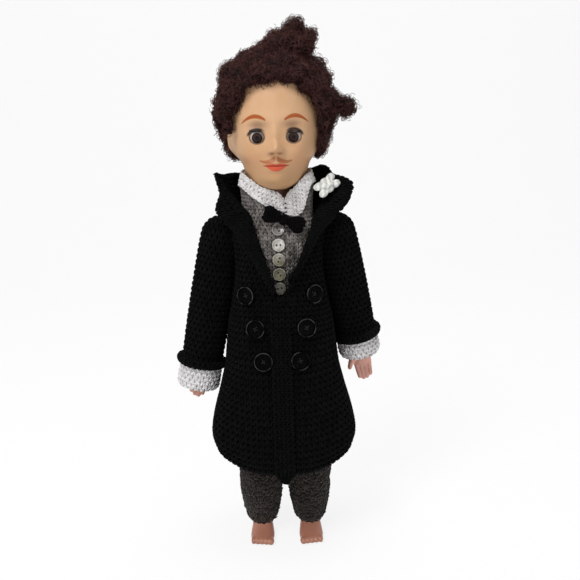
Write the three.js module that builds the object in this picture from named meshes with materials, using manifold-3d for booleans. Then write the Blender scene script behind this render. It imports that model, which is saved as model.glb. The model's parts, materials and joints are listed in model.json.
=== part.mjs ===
// A jointed plastic doll with sleep eyes, dressed in crocheted clothes: shirt collar and cuffs, waistcoat,
// bow tie, trousers, and a double-breasted coat with a flower on its lapel.
// Millimetres. +Z is up, the doll faces -Y, its left hand is on +X, and its soles rest on z = 0.

import * as THREE from "three";
import { mergeVertices } from "three/addons/utils/BufferGeometryUtils.js";
import Module from "manifold-3d";

const wasm = await Module();
wasm.setup();

// Fits and thicknesses
const GAP = 0.3; // clearance between neighbouring pieces
const BODY_WALL = 2.2; // hollow torso
const HEAD_WALL = 3; // hollow head
const WAISTCOAT_THICK = 2.2;
const COAT_THICK = 3.2;
const TROUSER_THICK = 2.4;
const WHITE_THICK = 2.2; // shirt collar and cuffs
const FAR = 200; // longer than anything it cuts
const SMALLEST_EDGE = 0.02; // shorter edges left by the cuts are dropped

// Heights above the floor
const HIP_HEIGHT = 150;
const SEAT_HEIGHT = HIP_HEIGHT + 14;
const SEAM_HEIGHT = SEAT_HEIGHT + 12; // coat body above, coat skirt below
const WAIST_HEIGHT = SEAM_HEIGHT + 20;
const NOTCH_HEIGHT = WAIST_HEIGHT + 7; // foot of the coat's neck opening
const CHEST_HEIGHT = WAIST_HEIGHT + 24;
const SHOULDER_HEIGHT = CHEST_HEIGHT + 25;
const NECK_BASE = SHOULDER_HEIGHT + 19;
const CONE_FOOT = NECK_BASE - 3; // where the clothes start to open round the neck
const CONE_TOP = CONE_FOOT + 28;
const CHIN_HEIGHT = NECK_BASE + 17.5;
const TROUSER_TOP = SEAT_HEIGHT + 16;
const WAISTCOAT_LOW = TROUSER_TOP + 1;
const WAISTCOAT_HIGH = NECK_BASE + 13;
const SHIRT_COLLAR_HIGH = NECK_BASE + 24;

// Torso and the joints that it carries
const CHEST_HALF_WIDTH = 27.3;
const BODY_SQUARENESS = 3.2; // power of the body's oval: 2 is an ellipse
const NECK_RADIUS = 10.5;
const NECK_Y = 2;
const PLUG_RADIUS = 6; // arm, leg and neck plugs
const FLANGE_RADIUS = 7.4;
const FLANGE_THICK = 2;
const TONGUE_HALF_WIDTH = 8.5; // pelvis between the legs
const TONGUE_RADIUS = 21;
const HIP_X = 19.5;
const HIP_SPACE = 19.9; // radius kept clear round each hip
const ARM_X = 43;
const ARM_TILT = THREE.MathUtils.degToRad(11.5);
const ARMHOLE_RADIUS = 10;
const LEFT_ARM_BACK = THREE.MathUtils.degToRad(9); // how the left arm hangs at rest

// Head, all heights from the chin
const HEAD_HALF_WIDTH = 34;
const FACE_DEPTH = 34;
const SKULL_DEPTH = 39;
const HEAD_LOWER = 46.5;
const HEAD_UPPER = 51.5;
const CHIN_FORWARD = 8;
const HEAD_FLOOR = 8; // bottom of the head's hollow
const NECK_SEAT = 4; // how far the neck enters the head
const EYE_X = 12.8;
const EYE_Y = -22.6;
const EYE_RISE = 37;
const EYE_RADIUS = 8.2;
const EYE_CASE_THICK = 1.3;
const EYE_OPENING = [7.2, 6.2]; // half width and half height
const AXLE_RADIUS = 0.9;
const WEIGHT_RADIUS = 3.4;
const LID_ANGLE = [30, 20].map(THREE.MathUtils.degToRad); // right and left lid edge above level
const HAIR_RISE = 53.5;
const HAIR_HALF_WIDTH = 46;
const HAIR_FRONT = 40;
const HAIR_BACK = 49;
const HAIR_UPPER = 53;
const HAIR_LOWER = 44;
const HAIR_END = 22; // lowest hair above the chin
const SIDE_CURL_RADIUS = 8.5;
const SIDE_CURL_RISE = 60;
// Opening of the hair round the face
const FACE_WINDOW = { halfWidth: 32, middle: 40, arch: 36, depth: -6 };

// Limbs, lengths from the shoulder or hip
const ARM_LENGTH = 115; // to the knuckles
const FINGER_LENGTH = 12;
const SLEEVE_RADIUS = 16;
const SLEEVE_LENGTH = { right: 103, left: 88 };
const CUFF_LENGTH = { right: 18, left: 15 };
const SLEEVE_ROLL = 1.8; // how far the sleeve's rolled edge stands out
const FOOT_HALF_WIDTH = 9.6;
const HEEL_Y = 15;
const TOE_Y = -26;
const TROUSER_HEM = 17;

// Coat skirt, collar and trimmings
const HEM_SIDE = 84;
const HEM_FRONT = 68;
const HEM_HALF_WIDTH = 57;
const NOTCH_FOOT = 4.4; // half width at the foot of the neck opening
const NOTCH_SPREAD = 0.32; // growth of that half width with height
const BAND_HALF_WIDTH = 7.8;
const BAND_TOP = HIP_HEIGHT - 4;
const BAND_TAIL = 62;
const BAND_THICK = 2.4;
const BAND_AHEAD = 1.025; // how much further from the middle than the skirt it hangs
const LAPEL_THICK = 2.4;
const SKIRT_SWAY = 0.02; // depth of the skirt's folds, as a share of its radius
const SKIRT_FOLDS = 6;
const COAT_BUTTON_RADIUS = 7.3;
const COAT_BUTTON_THICK = 2.8;
const WAISTCOAT_BUTTON_RADIUS = 4.8;
const WAISTCOAT_BUTTON_THICK = 2.2;
const COAT_BUTTONS = [[24.5, 28], [18.5, 4], [13.5, -20]]; // x and height over the seam of each pair
const WAISTCOAT_BUTTON_LOW = NOTCH_HEIGHT + 5.7;
const WAISTCOAT_BUTTON_PITCH = 10.6;
const WAISTCOAT_BUTTONS = 5;
const BOW_HEIGHT = NECK_BASE - 5;
const BOW_TILT = THREE.MathUtils.degToRad(22);
const FLOWER = { x: 40, rise: 20, lift: 0.5 }; // rise over the foot of the collar

// Coat collar, its left half from the back of the neck to the foot of the opening
const COLLAR_FOOT = [[0, 20.5], [17, 13], [21.5, 0]]; // x and y round the neck
const COLLAR_TIP = [[0, 37, 25], [33, 24, 27], [50, 0, 30], [44, -19, 20]]; // x, y and rise over the foot
const LAPEL_EDGE = [54, 37, 21, 5]; // rise over the foot of the opening
const LAPEL_TIP = [[29.5, 44], [17, 26], [7, 7]]; // x and the same rise
const LAPEL_START = -17; // y where the collar turns into the lapel

// Body sections: height, half width, front, back
const TORSO = [
  [SEAT_HEIGHT, 24, 21, 22],
  [SEAT_HEIGHT + 14, 27, 23, 24],
  [WAIST_HEIGHT, 25.5, 22, 22],
  [CHEST_HEIGHT, CHEST_HALF_WIDTH, 24, 23],
  [SHOULDER_HEIGHT, CHEST_HALF_WIDTH, 22, 22],
  [NECK_BASE - 8, 21.5, 17, 18],
  [NECK_BASE, 12.5, 12, 13],
];
const MORE_RINGS = [NOTCH_HEIGHT + 5, SHOULDER_HEIGHT + 6, NECK_BASE - 4];
const RING_HEIGHTS = [...TORSO.map((row) => row[0]), ...MORE_RINGS].sort((a, b) => a - b);
// How much wider than the body the coat hangs, by height
const COAT_EASE = [
  [SEAM_HEIGHT, 6.3],
  [WAIST_HEIGHT, 3.3],
  [CHEST_HEIGHT, 0],
  [NECK_BASE, 0],
];
// Coat skirt from the seam (0) to the hem (1): half width, front, back
const SKIRT = [
  [0, 39.5, 35.3, 36.3],
  [0.17, 41.3, 37.5, 38.5],
  [0.34, 44.4, 40.5, 41],
  [0.55, 50, 43.5, 44],
  [0.85, HEM_HALF_WIDTH, 46.5, 47],
  [1, HEM_HALF_WIDTH - 3.5, 44.5, 45],
];
// Arm: distance from the shoulder, half width, half depth
const ARM = [
  [0, 9.2, 9.2],
  [30, 9, 9],
  [56, 8, 8.2],
  [66, 8.2, 8.2],
  [90, 6.7, 6.6],
  [102, 5.6, 5],
  [109, 6.8, 4.6],
  [ARM_LENGTH, 6.8, 3.8],
];
// Leg: height, half width, front, back
const LEG = [
  [12, 7.6, 8, 9],
  [24, 7.8, 8, 9],
  [HIP_HEIGHT * 0.3, 10.3, 10, 12],
  [HIP_HEIGHT * 0.5, 11.5, 12, 12],
  [HIP_HEIGHT * 0.73, 13.5, 14.5, 14.5],
  [HIP_HEIGHT, 14.5, 15.5, 15.5],
];
// Trouser leg: height, half width, front and back
const TROUSER = [
  [TROUSER_HEM, 11.2, 11.6],
  [TROUSER_HEM + 7, 14.4, 14.6],
  [TROUSER_HEM + 19, 17, 17],
  [HIP_HEIGHT * 0.4, 18, 18.3],
  [HIP_HEIGHT * 0.67, 18.4, 19],
  [HIP_HEIGHT, 18.6, 19.5],
];

// Materials
const finish = (color, roughness) => new THREE.MeshStandardMaterial({ color, roughness, metalness: 0 });
const MATERIAL = {
  vinyl_skin: finish(0xd7af87, 0.5),
  limb_plastic: finish(0xcd9a80, 0.45),
  hair_fibre: finish(0x3a2626, 0.8),
  eye_plastic: finish(0x4a2c1c, 0.15),
  case_plastic: finish(0xd8d2c4, 0.5),
  axle_steel: new THREE.MeshStandardMaterial({ color: 0x9a9a9a, roughness: 0.35, metalness: 1 }),
  weight_metal: new THREE.MeshStandardMaterial({ color: 0x55585c, roughness: 0.6, metalness: 1 }),
  lash_fibre: finish(0x120d0b, 0.7),
  white_yarn: finish(0xdedcde, 0.9),
  grey_yarn: finish(0x828084, 0.9),
  black_yarn: finish(0x0d0e10, 0.9),
  bow_yarn: finish(0x17141a, 0.9),
  trouser_yarn: finish(0x3e3734, 0.9),
  black_button: finish(0x101113, 0.15),
  pearl_button: finish(0xa5a38f, 0.25),
  white_petal: finish(0xf0eeea, 0.3),
};

const root = new THREE.Group();
root.name = "dressed_doll";

// Geometry helpers

const point = (x, y, z) => new THREE.Vector3(x, y, z);

// Solid of a closed three.js geometry
function solid(geometry) {
  geometry.deleteAttribute("normal");
  geometry.deleteAttribute("uv");
  const merged = mergeVertices(geometry, 1e-4);
  const index = merged.index.array;
  const faces = [];
  for (let i = 0; i < index.length; i += 3) {
    const [a, b, c] = index.slice(i, i + 3);
    if (a !== b && b !== c && c !== a) faces.push(a, b, c);
  }
  return new wasm.Manifold(
    new wasm.Mesh({
      numProp: 3,
      vertProperties: new Float32Array(merged.attributes.position.array),
      triVerts: new Uint32Array(faces),
    }),
  );
}

const join = (...pieces) => pieces.reduce((whole, piece) => whole.add(piece));
const cut = (body, ...tools) => tools.reduce((rest, tool) => rest.subtract(tool), body);

// Biggest body of a cut solid, without the crumbs that the cut left
function biggest(body) {
  return body.decompose().reduce((best, one) => (one.volume() > best.volume() ? one : best));
}

// Adds a solid to a group as a named mesh
function add(group, name, body, slot) {
  const made = body.simplify(SMALLEST_EDGE).getMesh();
  const geometry = new THREE.BufferGeometry();
  geometry.setAttribute("position", new THREE.BufferAttribute(new Float32Array(made.vertProperties), 3));
  geometry.setIndex(new THREE.BufferAttribute(new Uint32Array(made.triVerts), 1));
  geometry.computeVertexNormals();
  const mesh = new THREE.Mesh(geometry, MATERIAL[slot]);
  mesh.name = name;
  group.add(mesh);
  return mesh;
}

// Values at one place in a table of rows, smooth between the rows and level beyond them
function along(rows, place) {
  const last = rows.length - 1;
  const at = THREE.MathUtils.clamp(place, rows[0][0], rows[last][0]);
  const i = Math.min(rows.findIndex((row, k) => k === last || at <= rows[k + 1][0]), last - 1);
  const span = rows[i + 1][0] - rows[i][0];
  const t = (at - rows[i][0]) / span;
  const slope = (k, j) => {
    const before = rows[Math.max(k - 1, 0)];
    const after = rows[Math.min(k + 1, last)];
    return ((after[j] - before[j]) / (after[0] - before[0])) * span;
  };
  return rows[i].slice(1).map((low, k) => {
    const high = rows[i + 1][k + 1];
    const rise = t * t * (3 - 2 * t);
    const ease = t * (1 - t);
    return low + (high - low) * rise + ease * ((1 - t) * slope(i, k + 1) - t * slope(i + 1, k + 1));
  });
}

// Steps from one value to another, both ends included
function steps(from, to, count) {
  return Array.from({ length: count + 1 }, (_, i) => from + ((to - from) * i) / count);
}

const power = (value, exponent) => Math.sign(value) * Math.abs(value) ** exponent;

// Ring of points round a level oval, from the front towards the doll's left
function oval(z, [halfWidth, front, back = front], sides, squareness = 2) {
  return steps(0, 2 * Math.PI, sides).slice(0, sides).map((turn) => {
    const across = power(Math.sin(turn), 2 / squareness);
    const ahead = power(Math.cos(turn), 2 / squareness);
    return point(across * halfWidth, -ahead * (ahead > 0 ? front : back), z);
  });
}

// Rings that close a limb over its joint as a round end: the joint's height and the limb's sizes there
function domeRings(z, sizes, sides, count) {
  const reach = sizes[1];
  return steps(0, Math.PI / 2, count).slice(1).map((turn) => {
    const shrunk = sizes.map((size) => size * Math.cos(turn));
    return oval(z + reach * Math.sin(turn), shrunk, sides);
  });
}

// Closed body through rings of equally many points, listed from the bottom up
function loft(rings) {
  const sides = rings[0].length;
  const top = (rings.length - 1) * sides;
  const faces = [];
  for (let r = 0; r < top; r += sides) {
    for (let i = 0; i < sides; i++) {
      const a = r + i;
      const b = r + ((i + 1) % sides);
      faces.push(a, b, b + sides, a, b + sides, a + sides);
    }
  }
  for (let i = 1; i + 1 < sides; i++) {
    faces.push(0, i + 1, i, top, top + i, top + i + 1);
  }
  const geometry = new THREE.BufferGeometry().setFromPoints(rings.flat());
  geometry.setIndex(faces);
  return geometry;
}

// Body turned about +Z from an outline of [radius, height] points, listed from the bottom up on the outside
function turned(outline, sides) {
  const profile = outline.map(([r, z]) => new THREE.Vector2(r, z));
  return solid(new THREE.LatheGeometry(profile, sides).rotateX(Math.PI / 2));
}

const ball = (radius, across, down) => solid(new THREE.SphereGeometry(radius, across, down));

// Rod along X between two places, turned a little so that its corners miss those of what it cuts
function rodX(radius, from, to, sides = 14) {
  const rod = new THREE.CylinderGeometry(radius, radius, to - from, sides).rotateZ(Math.PI / 2);
  return solid(rod.rotateX(0.13).translate((from + to) / 2, 0, 0));
}

// Upright rod between two heights
function rodZ(radius, from, to, sides = 18) {
  const rod = new THREE.CylinderGeometry(radius, radius, to - from, sides).rotateX(Math.PI / 2);
  return solid(rod.translate(0, 0, (from + to) / 2));
}

// Box between two corners
function box(low, high) {
  const size = high.map((value, i) => value - low[i]);
  const made = new THREE.BoxGeometry(...size);
  return solid(made.translate(...high.map((value, i) => (value + low[i]) / 2)));
}

// Prism along Y with an outline of [x, z] points, from the front to a depth y
function frontPrism(outline, depth) {
  const shape = new THREE.Shape(outline.map(([x, z]) => new THREE.Vector2(x, z)));
  const made = new THREE.ExtrudeGeometry(shape, { depth: FAR, bevelEnabled: false, curveSegments: 8 });
  return solid(made.rotateX(Math.PI / 2).translate(0, depth, 0));
}

// Solid moved by a three.js matrix
function moved(body, matrix) {
  return body.transform(matrix.elements);
}

const shifted = (body, x, y, z) => body.translate([x, y, z]);

// Body and clothes that follow it

const BODY_SIDES = 20;
const waistcoatGrow = GAP + WAISTCOAT_THICK;
const coatInside = waistcoatGrow + GAP;
// Outside of the waistcoat round the neck, opening upwards: height, half width, front, back
const COLLAR_CONE = [
  [CONE_FOOT, ...along(TORSO, CONE_FOOT).map((size) => size + waistcoatGrow)],
  [CONE_FOOT + 9, 20.5, 19.5, 20],
  [CONE_FOOT + 17, 24.5, 23, 24],
  [CONE_TOP, 29, 27, 28],
];

// Ring round the body, grown outwards
function bodyRing(z, grow) {
  const sizes = along(TORSO, z).map((size) => size + grow);
  return oval(z, sizes, BODY_SIDES, BODY_SQUARENESS);
}

// Heights between two ends at which the body and its clothes all have a ring, so that they nest
function ringHeights(low, high) {
  return [low, ...RING_HEIGHTS.filter((z) => z > low + 1 && z < high - 1), high];
}

function bodyForm(low, high, grow) {
  return solid(loft(ringHeights(low, high).map((z) => bodyRing(z, grow))));
}

// Room round both hips, outside the pelvis
function hipRoom(radius, innerFace) {
  const one = rodX(radius, innerFace, FAR, 20);
  const other = rodX(radius, -FAR, -innerFace, 20);
  return shifted(join(one, other), 0, 0, HIP_HEIGHT);
}

// Pelvis tongue between the legs, grown outwards
function tongue(grow, halfWidth) {
  return shifted(rodX(TONGUE_RADIUS + grow, -halfWidth, halfWidth, 22), 0, 0, HIP_HEIGHT);
}

function torsoOutside(grow) {
  const trunk = bodyForm(SEAT_HEIGHT, NECK_BASE, grow);
  const room = hipRoom(HIP_SPACE - grow, TONGUE_HALF_WIDTH + grow);
  return join(trunk.subtract(room), tongue(grow, TONGUE_HALF_WIDTH + grow));
}

function neckPost() {
  const seat = CHIN_HEIGHT + NECK_SEAT - GAP;
  const floor = CHIN_HEIGHT + HEAD_FLOOR + GAP;
  const post = turned(
    [
      [0, NECK_BASE - 6],
      [NECK_RADIUS, NECK_BASE - 6],
      [NECK_RADIUS, seat],
      [PLUG_RADIUS, seat],
      [PLUG_RADIUS, floor],
      [FLANGE_RADIUS, floor],
      [FLANGE_RADIUS, floor + FLANGE_THICK],
      [0, floor + FLANGE_THICK],
    ],
    18,
  );
  return shifted(post, 0, NECK_Y, 0);
}

function torsoShell() {
  const hollow = bodyForm(SEAT_HEIGHT + BODY_WALL, NECK_BASE - 2 * BODY_WALL, -BODY_WALL);
  const pelvis = tongue(-BODY_WALL, TONGUE_HALF_WIDTH - BODY_WALL);
  const room = hipRoom(HIP_SPACE + BODY_WALL, TONGUE_HALF_WIDTH - BODY_WALL);
  const inside = join(hollow.subtract(room), pelvis);
  const armHoles = shifted(rodX(PLUG_RADIUS + GAP, -FAR, FAR), 0, 0, SHOULDER_HEIGHT);
  const across = TONGUE_HALF_WIDTH + 1;
  const hipHoles = shifted(rodX(PLUG_RADIUS + GAP, -across, across), 0, 0, HIP_HEIGHT);
  const shell = cut(torsoOutside(0), inside, armHoles, hipHoles);
  return shell.add(neckPost());
}

// Form of the neck clothes: outside of the waistcoat, less a depth
function neckCone(low, high, depth, count) {
  const rings = steps(low, high, count).map((z) => {
    const sizes = along(COLLAR_CONE, z).map((size) => size - depth);
    return oval(z, sizes, BODY_SIDES, BODY_SQUARENESS);
  });
  return solid(loft(rings));
}

function waistcoat() {
  const outside = join(
    bodyForm(WAISTCOAT_LOW, CONE_FOOT, waistcoatGrow),
    neckCone(CONE_FOOT, WAISTCOAT_HIGH, 0, 3),
  );
  const inside = join(
    bodyForm(WAISTCOAT_LOW - 1, CONE_FOOT, GAP),
    neckCone(CONE_FOOT, WAISTCOAT_HIGH + 1, WAISTCOAT_THICK, 3),
  );
  const low = NECK_BASE - 8;
  const high = NECK_BASE + 20;
  const notch = frontPrism([[-3, low], [3, low], [28, high], [-28, high]], NECK_Y);
  const armholes = shifted(rodX(ARMHOLE_RADIUS, -FAR, FAR), 0, 0, SHOULDER_HEIGHT);
  return biggest(cut(outside, inside, notch, armholes));
}

// Shirt collar: high at the back and sides, with two points that meet at the throat
function shirtCollar() {
  const low = NECK_BASE + 0.6;
  const outside = neckCone(low, SHIRT_COLLAR_HIGH, WAISTCOAT_THICK + GAP, 5);
  const inside = neckCone(low - 1, SHIRT_COLLAR_HIGH + 1, WAISTCOAT_THICK + GAP + WHITE_THICK, 5);
  const throat = NECK_BASE + 4;
  const slit = [[-0.4, low - 2], [0.4, low - 2]];
  const points = [[1.5, throat], [27, CONE_TOP], [-27, CONE_TOP], [-1.5, throat]];
  const neckline = frontPrism([...slit, ...points], 6);
  return biggest(cut(outside, inside, neckline));
}

// Coat outside at a height, less a depth: half width, front, back
function coatSizes(z, depth) {
  const [ease] = along(COAT_EASE, z);
  return along(TORSO, z).map((size) => size + coatInside + COAT_THICK + ease - depth);
}

function coatForm(low, high, depth) {
  const ring = (z) => oval(z, coatSizes(z, depth), BODY_SIDES, BODY_SQUARENESS);
  return solid(loft(ringHeights(low, high).map(ring)));
}

// Half width of the coat's neck opening
function notchHalfWidth(z) {
  return NOTCH_FOOT + (z - NOTCH_HEIGHT) * NOTCH_SPREAD;
}

function coatBody() {
  const high = CONE_FOOT - GAP;
  const notch = [
    [-notchHalfWidth(NOTCH_HEIGHT), NOTCH_HEIGHT],
    [notchHalfWidth(NOTCH_HEIGHT), NOTCH_HEIGHT],
    [notchHalfWidth(high + 9), high + 9],
    [-notchHalfWidth(high + 9), high + 9],
  ];
  const armholes = shifted(rodX(ARMHOLE_RADIUS, -FAR, FAR), 0, 0, SHOULDER_HEIGHT);
  const outside = coatForm(SEAM_HEIGHT, high, 0);
  const inside = coatForm(SEAM_HEIGHT - 1, high + 1, COAT_THICK);
  return biggest(cut(outside, inside, frontPrism(notch, 0), armholes));
}

// Place on the coat front, grown outwards, as a point and the way out
function onCoat(x, z, grow) {
  const depth = (atX, atZ) => {
    const [halfWidth, front] = coatFront(atZ, grow);
    const share = Math.min(Math.abs(atX) / halfWidth, 0.999);
    return -front * (1 - share ** BODY_SQUARENESS) ** (1 / BODY_SQUARENESS);
  };
  const y = depth(x, z);
  const slopeX = depth(x + 0.5, z) - depth(x - 0.5, z);
  const slopeZ = depth(x, z + 0.5) - depth(x, z - 0.5);
  return { place: point(x, y, z), out: point(slopeX, -1, slopeZ).normalize() };
}

// Half width and front of the coat body or skirt at a height
function coatFront(z, grow) {
  if (z > SEAM_HEIGHT) return coatSizes(z, -grow);
  const share = (SEAM_HEIGHT - z) / (SEAM_HEIGHT - HEM_FRONT);
  return along(SKIRT, share).map((size) => size + grow);
}

// Skirt point at a turn from the front and a share of the way down
function skirtPoint(turn, share, grow) {
  const [halfWidth, front, back] = along(SKIRT, share).map((size) => size + grow);
  const hem = HEM_SIDE + (HEM_FRONT - HEM_SIDE) * Math.cos(turn) ** 2;
  const across = power(Math.sin(turn), 2 / BODY_SQUARENESS);
  const ahead = power(Math.cos(turn), 2 / BODY_SQUARENESS);
  const sway = 1 + SKIRT_SWAY * share * Math.cos(SKIRT_FOLDS * turn);
  const top = SEAM_HEIGHT - GAP;
  const z = top + (hem - top) * share;
  return point(across * halfWidth * sway, -ahead * (ahead > 0 ? front : back) * sway, z);
}

// Turn from the front at which the skirt is a distance across from its middle
function skirtTurn(across, share) {
  const [halfWidth] = along(SKIRT, share);
  return Math.asin(power(across / halfWidth, BODY_SQUARENESS / 2));
}

// One half of the skirt, from its front edge round the doll's left to the back vent
function coatSkirt(frontEdge) {
  const rings = steps(1, 0, 6).map((share) => {
    const turns = steps(skirtTurn(frontEdge, share), Math.PI - skirtTurn(GAP / 2, share), 15);
    const outer = turns.map((turn) => skirtPoint(turn, share, 0));
    const inner = turns.map((turn) => skirtPoint(turn, share, -COAT_THICK));
    return [...outer, ...inner.reverse()];
  });
  return solid(strip(rings));
}

// Closed body through rings that are not convex: each end is closed between its outer and inner run
function strip(rings) {
  const sides = rings[0].length;
  const half = sides / 2;
  const top = (rings.length - 1) * sides;
  const faces = [];
  for (let r = 0; r < top; r += sides) {
    for (let i = 0; i < sides; i++) {
      const a = r + i;
      const b = r + ((i + 1) % sides);
      faces.push(a, b, b + sides, a, b + sides, a + sides);
    }
  }
  for (let i = 0; i + 1 < half; i++) {
    const far = sides - 1 - i;
    faces.push(i, far, far - 1, i, far - 1, i + 1);
    faces.push(top + i, top + far - 1, top + far, top + i, top + i + 1, top + far - 1);
  }
  const geometry = new THREE.BufferGeometry().setFromPoints(rings.flat());
  geometry.setIndex(faces);
  return geometry;
}

// Ribbed band down the skirt's front edge, ending in a corner that hangs lower than the hem
function frontBand() {
  const rows = [
    [BAND_TAIL, 3.5],
    [BAND_TAIL + 7, BAND_HALF_WIDTH],
    [BAND_TOP, BAND_HALF_WIDTH],
  ];
  const rings = [BAND_TAIL, ...steps(BAND_TAIL + 3, BAND_TOP, 8)].map((z) => {
    const [halfWidth] = along(rows, z);
    const across = steps(-halfWidth, halfWidth, 6);
    const run = (grow) => across.map((x) => onCoat(x, z, grow).place.multiply(point(1, BAND_AHEAD, 1)));
    return [...run(GAP + BAND_THICK), ...run(GAP).reverse()];
  });
  return solid(strip(rings));
}

// Coat collar: a flap that stands up behind the neck, spreads at the sides and lies down as lapels
function coatCollar() {
  const lift = GAP + 0.3;
  const onEdge = (z) => onCoat(notchHalfWidth(z) + 0.4, z, lift).place;
  const [start, ...edge] = LAPEL_EDGE.map((rise) => onEdge(NOTCH_HEIGHT + rise));
  const foot = COLLAR_FOOT.map(([x, y]) => point(x, y, CONE_FOOT));
  const stand = COLLAR_TIP.map(([x, y, rise]) => point(x, y, CONE_FOOT + rise));
  const lapel = LAPEL_TIP.map(([x, rise]) => onCoat(x, NOTCH_HEIGHT + rise, lift).place);
  const base = [...foot, start.setY(LAPEL_START), ...edge];
  const tip = [...stand, ...lapel];
  const baseLine = new THREE.CatmullRomCurve3(base);
  const tipLine = new THREE.CatmullRomCurve3(tip);
  const half = steps(0, 1, 12).map((t) => {
    const low = baseLine.getPoint(t);
    const high = tipLine.getPoint(t);
    const middle = low.clone().lerp(high, 0.5);
    const flap = high.clone().sub(low);
    const out = baseLine.getTangent(t).cross(flap).normalize();
    middle.addScaledVector(out, 0.6);
    const inner = [low, middle, high];
    const outer = inner.map((place) => place.clone().addScaledVector(out, LAPEL_THICK));
    return [...outer, ...inner.reverse()];
  });
  const mirrored = half.slice(1).map((ring) => ring.map((place) => point(-place.x, place.y, place.z)));
  const flap = solid(strip([...half.reverse(), ...mirrored]));
  return biggest(
    cut(flap, coatForm(SEAM_HEIGHT, CONE_FOOT - GAP, -GAP), neckCone(CONE_FOOT, CONE_TOP, -GAP, 4)),
  );
}

// Buttons

// Turned button with a raised rim, thread holes on a circle, its back on z = 0
function button(radius, thick, holes, holeRadius) {
  const rim = radius * 0.78;
  const dish = thick * 0.62;
  const outline = [
    [0, 0],
    [radius * 0.86, 0],
    [radius, thick * 0.45],
    [radius * 0.93, thick],
    [rim, dish],
    [0, dish],
  ];
  const disc = turned(outline, 14);
  const drills = Array.from({ length: holes }, (_, i) => {
    const turn = ((i + 0.5) / holes) * 2 * Math.PI;
    const reach = radius * 0.3;
    return shifted(rodZ(holeRadius, -1, thick + 1, 5), Math.cos(turn) * reach, Math.sin(turn) * reach, 0);
  });
  return cut(disc, ...drills);
}

// Moves a body made upright on z = 0 to a place, facing a way
function facing(body, place, out) {
  const turn = new THREE.Quaternion().setFromUnitVectors(point(0, 0, 1), out);
  return moved(body, new THREE.Matrix4().compose(place, turn, point(1, 1, 1)));
}

function addButtons() {
  COAT_BUTTONS.forEach(([x, rise], row) => {
    for (const side of [-1, 1]) {
      const { place, out } = onCoat(side * x, SEAM_HEIGHT + rise, GAP * 2);
      const name = `coat_button_${side > 0 ? "left" : "right"}_${row + 1}`;
      const body = button(COAT_BUTTON_RADIUS, COAT_BUTTON_THICK, 4, 0.9);
      add(root, name, facing(body, place, out), "black_button");
    }
  });
  for (let row = 0; row < WAISTCOAT_BUTTONS; row++) {
    const z = WAISTCOAT_BUTTON_LOW + (WAISTCOAT_BUTTONS - 1 - row) * WAISTCOAT_BUTTON_PITCH;
    const front = along(TORSO, z)[1] + waistcoatGrow + GAP;
    const slope = along(TORSO, z + 1)[1] - along(TORSO, z - 1)[1];
    const out = point(0, -1, slope / -2).normalize();
    const body = button(WAISTCOAT_BUTTON_RADIUS, WAISTCOAT_BUTTON_THICK, 2, 0.7);
    add(root, `waistcoat_button_${row + 1}`, facing(body, point(0, -front, z), out), "pearl_button");
  }
}

// Bow tie and flower

// One loop of the bow, from the knot outwards along +X
function bowLoop() {
  const rows = [
    [2.6, 2.2, 2],
    [6, 4.6, 2.8],
    [12, 6.2, 3.2],
    [15.5, 5.4, 2.6],
  ];
  const rings = steps(2.6, 15.5, 5).map((x) => {
    const [high, deep] = along(rows, x);
    return oval(x, [high, deep, deep], 10);
  });
  return solid(loft(rings).rotateY(Math.PI / 2));
}

function addBow() {
  const y = -(along(TORSO, BOW_HEIGHT)[1] + waistcoatGrow + 8.5);
  const bow = new THREE.Group();
  bow.position.set(0, y, BOW_HEIGHT);
  bow.rotation.y = BOW_TILT;
  root.add(bow);
  const loop = bowLoop();
  add(bow, "bow_loop_left", loop, "bow_yarn");
  add(bow, "bow_loop_right", loop.scale([-1, 1, 1]), "bow_yarn");
  const knot = ball(3.6, 10, 6).scale([0.8, 1, 1.1]);
  add(bow, "bow_knot", cut(knot, box([2.3, -9, -9], [9, 9, 9]), box([-9, -9, -9], [-2.3, 9, 9])), "bow_yarn");
}

// Place on the front of a mesh at x and z, as a point and the way out
function frontOf(mesh, x, z) {
  const [hit] = new THREE.Raycaster(point(x, -FAR, z), point(0, 1, 0)).intersectObject(mesh);
  return { place: hit.point, out: hit.face.normal };
}

function addFlower(lapel) {
  const petals = Array.from({ length: 6 }, (_, i) => {
    const petal = ball(4.2, 6, 4).scale([1, 0.62, 0.5]).translate([5.2, 0, 2.2]);
    return petal.rotate([0, -14, i * 60]);
  });
  const disc = rodZ(3.4, 0.4, 2.4, 10);
  const { place, out } = frontOf(lapel, FLOWER.x, CONE_FOOT + FLOWER.rise);
  place.addScaledVector(out, FLOWER.lift);
  add(root, "flower_petals", facing(join(disc, ...petals), place, out), "white_petal");
  const bead = ball(2.6, 7, 5).scale([1, 1, 0.8]).translate([0, 0, 5.6]);
  const seated = cut(bead, rodZ(6, 0, 2.4 + GAP), ...petals.map((petal) => petal.scale([1.06, 1.06, 1.1])));
  add(root, "flower_bead", facing(biggest(seated), place, out), "white_petal");
}

// Head, hair and eyes

// Bumps of the face: x, rise from the chin, spread across, spread up, how far out
const FACE = [
  [0, 28, 4.2, 4.4, 6.4], // nose
  [0, 37, 3.2, 7, 2.4], // bridge
  [-3.8, 25.6, 2.2, 2.2, 1.8], // nostrils
  [3.8, 25.6, 2.2, 2.2, 1.8],
  [0, 19.2, 7, 2.2, 2.2], // upper lip
  [0, 14.8, 5.6, 2, 2], // lower lip
  [0, 5.6, 8, 5, 3.5], // chin
  [-17, 23, 9, 8, 2], // cheeks
  [17, 23, 9, 8, 2],
  [-EYE_X, EYE_RISE, 8, 7, -2.4], // eye hollows
  [EYE_X, EYE_RISE, 8, 7, -2.4],
];
const EAR = { y: 3, rise: 32, spreadY: 5, spreadZ: 8, out: 4.5 };

const hump = (value, middle, spread) => Math.exp(-(((value - middle) / spread) ** 2));

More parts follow.
